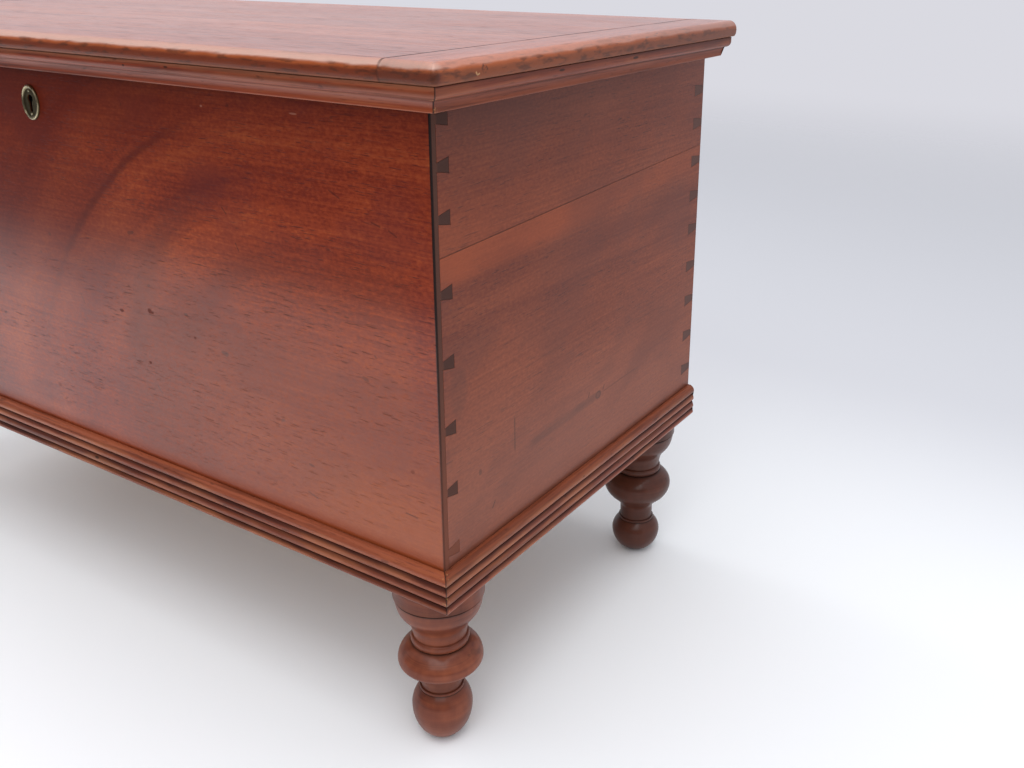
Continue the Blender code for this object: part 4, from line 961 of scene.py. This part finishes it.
def lid_panel():
    """The lid's section from the back edge forward, round the nose and back, carried along X. The underside
    is raised inside each recess for a hinge leaf or the keeper."""
    recesses = []
    for node in ("hinge_right_lid_leaf", "hinge_left_lid_leaf", "lock_keeper"):
        start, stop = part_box(node)
        deep = LEAF_RECESS if "leaf" in node else KEEPER_RECESS
        back = min(stop.y + FIT, Y_BACK + FIT)
        recesses.append((start.x - FIT, stop.x + FIT, start.y - FIT, back, deep + FIT))
    half = X_CAP_SEAM - FIT / 6
    x = with_walls(np.linspace(-half, half, LID_STEPS), *[w for r in recesses for w in r[:2]])[:, None]
    walls = [w for r in recesses for w in r[2:4] if w < Y_BACK]
    under_y = with_walls(np.linspace(Y_NOSE + NOSE_TUCK, Y_BACK, 40), *walls)[::-1]
    inside_low = NOSE_TUCK * (1 - np.sin(np.linspace(0, np.pi / 2, 12)))[1:]
    inside_high = spaced(NOSE_DEPTH, Y_BACK - BACK_ARRIS - Y_NOSE, NOSE_STEPS, 70)[1:]
    arris = arc((Y_BACK - BACK_ARRIS, Z_TOP - BACK_ARRIS), (BACK_ARRIS, BACK_ARRIS), 90, 0, 5)
    y = np.concatenate([under_y, Y_NOSE + inside_low, Y_NOSE + inside_high, arris[1:, 0], [Y_BACK]])
    z = np.concatenate([
        np.full(under_y.shape, Z_LID),
        Z_LID + nose_under(inside_low),
        Z_LID + nose_top(inside_high),
        arris[1:, 1],
        [Z_LID],
    ])
    raised = np.zeros((len(x), len(y)))
    for x0, x1, y0, y1, deep in recesses:
        flat = (z <= Z_LID + SAME_POINT) & (y > y0) & (y < y1)
        raised += ((x > x0) & (x < x1)) * flat * deep
    inside = y - Y_NOSE
    sag = LID_SAG * waver(x, 5, 0.45) * np.clip(inside / 0.1, 0, 1) * (z > Z_LID + NOSE_LOW)
    grid = points(x, y, z + raised - sag)
    marks = {"nose": nose_mark(inside) * (z > Z_LID + SAME_POINT), "end_grain": 0.0 * y}
    look = lid_look("lid_panel_wood", "x")
    piece("lid_panel_board", capped(grid, marks), look, "lid", ["lid_panel"])


def cap_plan():
    """Depths on a grid, and distances in from the end nose and the front nose with a rounded plan corner:
    on the square ring at each depth, the last stretch before the corner is bent into an arc of the radius
    left there."""
    width, length = X_NOSE - X_CAP_SEAM, Y_BACK - Y_NOSE
    end = spaced(NOSE_DEPTH, width, NOSE_STEPS, 22)[:, None]
    front = spaced(NOSE_DEPTH, length, NOSE_STEPS, 150)[None, :]
    depth = np.minimum(end, front)
    radius = np.clip(CORNER_ROUND - depth, 0, None)
    along = np.maximum(end, front) - depth
    bent = (along < radius) & (radius > 0)
    turn = np.pi / 4 * (1 + np.where(bent, along / np.where(radius > 0, radius, 1), 1))
    near = depth + radius * (1 - np.sin(turn))
    far = depth + radius * (1 - np.cos(turn))
    first = np.where(bent, np.where(end <= front, near, far), end + 0 * front)
    second = np.where(bent, np.where(end <= front, far, near), front + 0 * end)
    return depth, first, second


def lid_caps():
    """A cap at each end: an upper and a lower face over one plan, joined by the seam and back faces."""
    depth, end, front = cap_plan()
    look = lid_look("lid_cap_wood", "y")
    for side, sign in SIDES:
        x, y = sign * (X_NOSE - end), Y_NOSE + front
        upper = points(x, y, Z_LID + nose_top(depth))
        lower = points(x, y, Z_LID + nose_under(depth))
        grain = np.clip(1 - front / NOSE_DEPTH, 0, 1) * np.clip((end - front) / 0.006, 0, 1)
        top_marks = {"nose": nose_mark(depth), "end_grain": grain}
        low_marks = {"nose": nose_mark(depth) * (depth < NOSE_TUCK), "end_grain": grain}
        seam = np.stack([upper[-1], lower[-1]])
        back = np.stack([upper[:, -1], lower[:, -1]])
        patches = [
            (upper, top_marks),
            (lower, low_marks),
            (seam, {m: np.stack([top_marks[m][-1], low_marks[m][-1]]) for m in top_marks}),
            (back, {"nose": 0.0, "end_grain": 1.0}),
        ]
        piece(f"lid_end_cap_{side}_board", patches, look, "lid", [f"lid_end_cap_{side}"])


lid_panel()
lid_caps()


# Feet
def hollow(start, end, count):
    """An S curve between two turned diameters: the radius eases from one end to the other."""
    t = np.linspace(0, 1, count + 1)[1:-1]
    eased = HOLLOW_EASE * t**3 / (t**3 + (1 - t) ** 3) + (1 - HOLLOW_EASE) * t
    return points(start[0] + (end[0] - start[0]) * eased, start[1] + (end[1] - start[1]) * t)


def cove(start, slope, end, count):
    """A hollow that leaves start at the given fall of radius with depth and ends upright: a quadratic
    curve that bends where the two straight lines would meet."""
    t = np.linspace(0, 1, count + 1)[1:-1, None]
    bend = np.array([end[0], start[1] - (start[0] - end[0]) / slope])
    return (1 - t) ** 2 * np.array(start) + 2 * t * (1 - t) * bend + t**2 * np.array(end)


def round_height(wide, narrow, rise):
    """Half height of an ellipse of radius wide that narrows to another radius over a given rise."""
    return rise / math.sqrt(1 - (narrow / wide) ** 2)


def foot_profile(collar, neck, ring, bulb, bulb_under, waist, bead, ball):
    """Radius and height of a foot from its tenon down, with heights below the foot's top."""
    bead_foot = bead + BEAD_HEIGHT
    bulb_top, ball_top = RING_RADIUS - QUIRK, BEAD_RADIUS - QUIRK
    bulb_radii = (BULB_RADIUS, round_height(BULB_RADIUS, bulb_top, bulb - ring))
    upper_ball = (BALL_RADIUS, round_height(BALL_RADIUS, ball_top, ball - bead_foot))
    lower_ball = (BALL_RADIUS, round_height(BALL_RADIUS, SOLE_RADIUS, FOOT_HEIGHT - ball))
    bulb_start = math.degrees(math.acos(bulb_top / BULB_RADIUS))
    ball_start = math.degrees(math.acos(ball_top / BALL_RADIUS))
    ball_end = -math.degrees(math.acos(SOLE_RADIUS / BALL_RADIUS))
    shoulder, neck_foot = (COLLAR_RADIUS - QUIRK, -collar - QUIRK), (NECK_RADIUS, -neck)
    under_bulb = arc((0, -bulb), (BULB_RADIUS, bulb_under), 0, -BULB_TURN, 16)
    slope = BULB_RADIUS / bulb_under * math.tan(math.radians(BULB_TURN))
    ring_half, bead_half = (ring - neck) / 2 - QUIRK / 2, BEAD_HEIGHT / 2
    return np.concatenate([
        [(0, TENON_LENGTH), (TENON_RADIUS, TENON_LENGTH), (TENON_RADIUS, 0), (COLLAR_RADIUS - QUIRK, 0)],
        arc((COLLAR_RADIUS - QUIRK, -QUIRK), (QUIRK, QUIRK), 90, 0, 4),
        [(COLLAR_RADIUS, -collar / 2), (COLLAR_RADIUS, -collar + QUIRK)],
        [(COLLAR_RADIUS - 2 * QUIRK, -collar), shoulder],
        hollow(shoulder, neck_foot, 28),
        [neck_foot],
        arc((RING_RADIUS - 2 * QUIRK, -(neck + ring) / 2), (2 * QUIRK, ring_half), 80, -90, 15),
        [(RING_RADIUS - 2 * QUIRK, -ring)],
        arc((0, -bulb), bulb_radii, bulb_start, 0, 18)[:-1],
        under_bulb,
        cove(under_bulb[-1], slope, (WAIST_RADIUS, -waist), 14),
        [(WAIST_RADIUS, -waist), (WAIST_RADIUS, -bead)],
        arc((BEAD_RADIUS - QUIRK, -bead - bead_half), (QUIRK, bead_half), 80, -90, 9),
        [(BEAD_RADIUS - 2 * QUIRK, -bead_foot)],
        arc((0, -ball), upper_ball, ball_start, 0, 18)[:-1],
        arc((0, -ball), lower_ball, 0, ball_end, 20)[:-1],
        [(SOLE_RADIUS, -FOOT_HEIGHT), (0, -FOOT_HEIGHT)],
    ])


def feet():
    """Each profile turned round an upright axis, very slightly out of round."""
    turn = np.linspace(0, 2 * np.pi, FOOT_STEPS)[:, None]
    for number, place in enumerate(("front_right", "front_left", "back_right", "back_left")):
        turning, age_and_shade = (FRONT_TURNING, FRONT_AGE_AND_SHADE) if "front" in place else (BACK_TURNING, BACK_AGE_AND_SHADE)
        radius, height = foot_profile(*turning).T
        collar, neck, ring, *_, bead, _ = turning
        bead_foot = bead + BEAD_HEIGHT
        lines = (neck, 0.15, 0.0008), (ring, 0.9, 0.0008), (bead, 0.4, 0.0007), (bead_foot, 1.0, 0.0008)
        dirt = sum(share * np.exp(-(((height + depth) / half) ** 2)) for depth, share, half in lines)
        # The collar groove's dark line: a little dirt all round, and painted shadow that makes it darkest
        # on the front.
        groove_dirt_and_shadow = 0.2 + 0.8 * np.clip(np.cos(turn + 1.75) / 0.15, 0, 1)
        dirt = dirt + groove_dirt_and_shadow * np.exp(-(((height + collar + QUIRK / 2) / 0.0014) ** 2))
        node = f"foot_{place}"
        middle = (low(node) + high(node)) / 2
        squeeze = OUT_OF_ROUND * (0.5 + 0.5 * np.sin(2 * turn + number)) * (height < -FIT)
        true = radius * (1 - squeeze)
        x, y = middle.x + true * np.cos(turn), middle.y + true * np.sin(turn)
        grid = points(x, y, FOOT_TOP + height)
        look = foot_look(f"{node}_wood", middle.x, middle.y, age_and_shade)
        patch = (grid, {"dirt": np.clip(dirt, 0, 1)})
        piece(f"{node}_turning", [patch], look, "case", [node], 50)


feet()


# Keyhole plate
def oval_height(share):
    """Height of the plate over the board by distance from its middle, as a share of the oval: flat field,
    a dish up to the rim, and a half-round rim."""
    radius = (OVAL_HIGH.z - OVAL_LOW.z) / 2
    edge = (1 - share) * radius
    rim_low = OVAL_FIELD + (OVAL_RISE - OVAL_FIELD) * OVAL_DISH
    run = np.clip((OVAL_HOLLOW - edge) / (OVAL_HOLLOW - OVAL_RIM), 0, 1)
    dish = OVAL_FIELD + (rim_low - OVAL_FIELD) * run**2
    rim = OVAL_RISE * np.sqrt(np.clip(1 - ((edge - OVAL_RIM / 2) / (OVAL_RIM / 2)) ** 2, 0, 1))
    return np.maximum(np.where(edge < OVAL_RIM / 2, 0, dish), np.where(edge < OVAL_RIM, rim, 0))


def keyhole_rim(turn):
    """Distance from a point in the slot to the keyhole's outline, by angle from straight up: the greater
    of the distances to the slot's outline and to the round's."""
    sine, cosine = np.abs(np.sin(turn)), np.cos(turn)
    side = KEYHOLE_SLOT / 2 / np.maximum(sine, 1e-9)
    reach = np.where(cosine < 0, KEYHOLE_DROP - RAY_DROP, RAY_DROP) / np.maximum(np.abs(cosine), 1e-9)
    within = KEYHOLE_RADIUS**2 - (RAY_DROP * sine) ** 2
    ring = np.where(within > 0, RAY_DROP * cosine + np.sqrt(np.clip(within, 0, None)), 0)
    return np.maximum(np.minimum(side, reach), ring)


def keyhole_plate():
    """Rays from a point in the slot to the edge of the oval: the place on a ray runs from the keyhole's
    outline to the edge, and the height comes from the distance to the middle of the oval."""
    middle = (OVAL_LOW + OVAL_HIGH) / 2
    half_x, half_z = (OVAL_HIGH.x - OVAL_LOW.x) / 2, (OVAL_HIGH.z - OVAL_LOW.z) / 2
    turn = np.linspace(0, 2 * np.pi, OVAL_STEPS)[None, :]
    hole = keyhole_rim(turn)
    start_z = KEYHOLE_RAISE - RAY_DROP
    ux, uz = np.sin(turn), np.cos(turn)
    a = (ux / half_x) ** 2 + (uz / half_z) ** 2
    b = 2 * start_z * uz / half_z**2
    c = (start_z / half_z) ** 2 - 1
    edge = (-b + np.sqrt(b**2 - 4 * a * c)) / (2 * a)
    rounded = 0.55 + 0.45 * np.sin(np.linspace(0, np.pi / 2, 30))[1:]
    share = np.concatenate([np.linspace(0, 0.55, 12), rounded])[:, None]
    reach = hole + KEYHOLE_CHAMFER + (edge - hole - KEYHOLE_CHAMFER) * share
    px, pz = reach * ux, start_z + reach * uz
    level = np.sqrt((px / half_x) ** 2 + (pz / half_z) ** 2)
    rise = oval_height(np.clip(level, 0, 1))
    face = points(middle.x + px, OVAL_FACE - rise, middle.z + pz)
    depths = np.array([[OVAL_FIELD - KEYHOLE_CHAMFER], [0.0]])
    walls = points(middle.x + hole * ux, OVAL_FACE - depths, middle.z + start_z + hole * uz)
    inner = np.stack([face[0], *walls])
    back = np.stack([walls[-1], points(face[-1, :, 0], OVAL_FACE, face[-1, :, 2])])
    rub = np.clip((rise - OVAL_FIELD) / (OVAL_RISE - OVAL_FIELD), 0, 1)
    patches = [(face, {"rub": 0.12 + 0.88 * rub}), (inner, {"rub": 0.0}), (back, {"rub": 0.0})]
    piece("escutcheon_plate", patches, BRASS, "case", ["escutcheon"], 50)


def plate_pins():
    """A domed head on a thin shank, turned round an axis along Y."""
    turn = np.linspace(0, 2 * np.pi, PIN_STEPS)[:, None]
    for place in ("top", "foot"):
        start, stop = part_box(f"escutcheon_pin_{place}")
        dome = arc((0, 0), (PIN_HEAD, PIN_DOME), 90, 0, 9)
        length = stop.y - start.y - PIN_DOME
        radius, out = np.concatenate([dome, [(PIN_SHANK, 0), (PIN_SHANK, -length), (0, -length)]]).T
        x, z = (start.x + stop.x) / 2, (start.z + stop.z) / 2
        grid = points(x + radius * np.cos(turn), start.y + PIN_DOME - out, z + radius * np.sin(turn))
        patches, nodes = [(grid, {"rub": 1.0})], [f"escutcheon_pin_{place}"]
        piece(f"escutcheon_pin_{place}_head", patches, BRASS, "case", nodes, 50)


BRASS = brass_look()
keyhole_plate()
plate_pins()


# Glue in the joints of the back
def back_glue():
    """A film round each back pin: along one slope, across the bottom of the socket and back along the other
    slope, carried through the end's thickness, and shrunk in unevenly from its face."""
    look, root, (x, y, z) = new_look("old_glue")
    cloud = noise(x * 400.0, y * 400.0, z * 400.0, 3.0)
    colour = tint(cloud, (0.012, 0.006, 0.004), (0.060, 0.026, 0.014))
    surface(root, colour, 0.5 + cloud * 0.2, cloud, 0.00005)
    through = np.linspace(X_END - END_BOARD + GLUE_IN, X_END - GLUE_SHY, 8)[:, None]
    for side, sign in SIDES:
        patches = []
        for pin in BACK_PINS:
            skins = []
            for shrink in GLUE_SKINS:
                narrow, wide = PIN_NARROW / 2 - shrink, PIN_WIDE / 2 - shrink
                up = np.array([-narrow, -wide, wide, narrow])
                back = np.where(abs(up) < wide, Y_BACK - GLUE_SHY, Y_BACK_IN - FIT + shrink)
                sunk = GLUE_SHRINK * waver(back + up, 31 + sign, 0.02) * (through == through.max())
                skins.append(points(sign * (through - sunk), back, Z_BASE_TOP + pin + up))
            edges = [np.stack([grid[i] for grid in skins]) for i in (0, -1)]
            edges += [np.stack([grid[:, i] for grid in skins]) for i in (0, -1)]
            patches += [(grid, {}) for grid in (*skins, *edges)]
        piece(f"back_glue_{side}", patches, look, "case", [])


back_glue()


# Boards and fittings that keep the shape of the frame
def dress(look, *nodes):
    """Gives nodes of the frame a look."""
    for node in nodes:
        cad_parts[node].material_slots[0].material = look


dress(front_look(), "front_board")
dress(back_look(), "back_board")
for side, sign in SIDES:
    dress(end_look(f"{side}_end_lower_wood", sign, False), f"{side}_end_lower_board")
    dress(end_look(f"{side}_end_upper_wood", sign, True), f"{side}_end_upper_board")
dress(bare_look("bottom_wood", "x"), "bottom_board_front", "bottom_board_back")
dress(bare_look("block_wood", "z"), *[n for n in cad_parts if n.startswith("corner_block")])
fittings = ("hinge_", "lock_", "keeper_")
dress(iron_look(), *[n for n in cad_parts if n.startswith(fittings)])


# Floor, light and camera
def flat_mesh(name, corners, faces, look):
    """An object of a few flat faces between given corners."""
    mesh = bpy.data.meshes.new(name)
    mesh.from_pydata(corners, [], faces)
    mesh.materials.append(look)
    return placed(name, mesh)


def floor():
    """A wide pale sheet: white round the chest, and fading into the pale wall behind it."""
    look, root, (_, y, _) = new_look("floor_sheet")
    colour = tint(ramp(y, 0.20, 0.90), (0.925, 0.935, 0.96), (0.66, 0.66, 0.70))
    inputs = {"Base Color": colour, "Roughness": 0.9, "IOR": 1.2, "Alpha": ramp(y, 4.5, 1.3)}
    shader = root.node("ShaderNodeBsdfPrincipled", None, inputs)
    root.node("ShaderNodeOutputMaterial", None, {"Surface": shader})
    half = 30.0
    corners = [(x, y, 0) for x, y in ((-half, -half), (half, -half), (half, half), (-half, half))]
    sheet = flat_mesh("floor", corners, [(0, 1, 2, 3)], look)


def dark_reflection_card():
    """A dark card laid in front of the chest, seen only in its varnish: a painted dark reflection of the
    unlit room.
    """
    look, root, _ = new_look("dark_reflection_card")
    shader = root.node("ShaderNodeBsdfDiffuse", None, {"Color": (0.02, 0.02, 0.02, 1.0)})
    root.node("ShaderNodeOutputMaterial", None, {"Surface": shader})
    near, far, half, lift, height = -1.10, -3.0, 7.0, 0.002, 4.0
    corners = [(x, y, z) for y, z in ((near, lift), (far, lift), (far, height)) for x in (-half, half)]
    card = flat_mesh("dark_reflection_card", corners, [(0, 1, 3, 2), (2, 3, 5, 4)], look)
    card.visible_camera = card.visible_diffuse = card.visible_shadow = False


def surroundings():
    """Even light from all round. What the camera, varnish and metal see of it is a pale grey wall."""
    world = bpy.data.worlds.new("studio")
    bpy.context.scene.world = world
    world.use_nodes = True
    world.node_tree.nodes.clear()
    root = Socket(world.node_tree)
    rays = root.node("ShaderNodeLightPath", output="Is Camera Ray")
    seen = greatest([rays, rays.out("Is Glossy Ray"), rays.out("Is Transmission Ray")])
    wall = root.node("ShaderNodeBackground", None, {"Color": (0.70, 0.70, 0.755, 1.0), "Strength": 1.0})
    light = root.node("ShaderNodeBackground", None, {"Color": (0.95, 0.98, 1.02, 1.0), "Strength": 0.69})
    both = root.node("ShaderNodeMixShader", None, {0: seen, 1: light, 2: wall})
    root.node("ShaderNodeOutputWorld", None, {"Surface": both})


def soft_lamp(name, place, aim, size, power):
    """A square lamp at a place, turned to shine at a point."""
    data = bpy.data.lights.new(name, "AREA")
    data.shape, data.size, data.energy = "SQUARE", size, power
    lamp = placed(name, data)
    lamp.visible_glossy = name != "side_lamp"
    lamp.location = place
    lamp.rotation_euler = (Vector(aim) - Vector(place)).to_track_quat("-Z", "Y").to_euler()


def camera():
    """A camera at the photograph's place: f is 1034 pixels of a frame 1024 wide."""
    data = bpy.data.cameras.new("camera")
    data.sensor_width = 36.0
    data.lens = 36.34
    data.shift_x, data.shift_y = -0.0291, -0.0813
    view = placed("camera", data)
    view.location = (0.9448, -0.7791, 0.6894)
    view.rotation_euler = [math.radians(a) for a in (71.0677, -0.0955, 33.1062)]
    bpy.context.scene.camera = view


floor()
dark_reflection_card()
surroundings()
soft_lamp("front_lamp", (1.15, -1.6, 2.3), (0.3, -0.3, 0.0), 2.0, 27.0)
soft_lamp("top_lamp", (0.5, -0.5, 3.2), (0.5, -0.5, 0.0), 3.0, 37.0)
soft_lamp("side_lamp", (-2.0, 0.1, 1.6), (-0.4, 0.0, 0.0), 1.2, 18.0)
camera()
bpy.context.scene.view_settings.view_transform = "Standard"
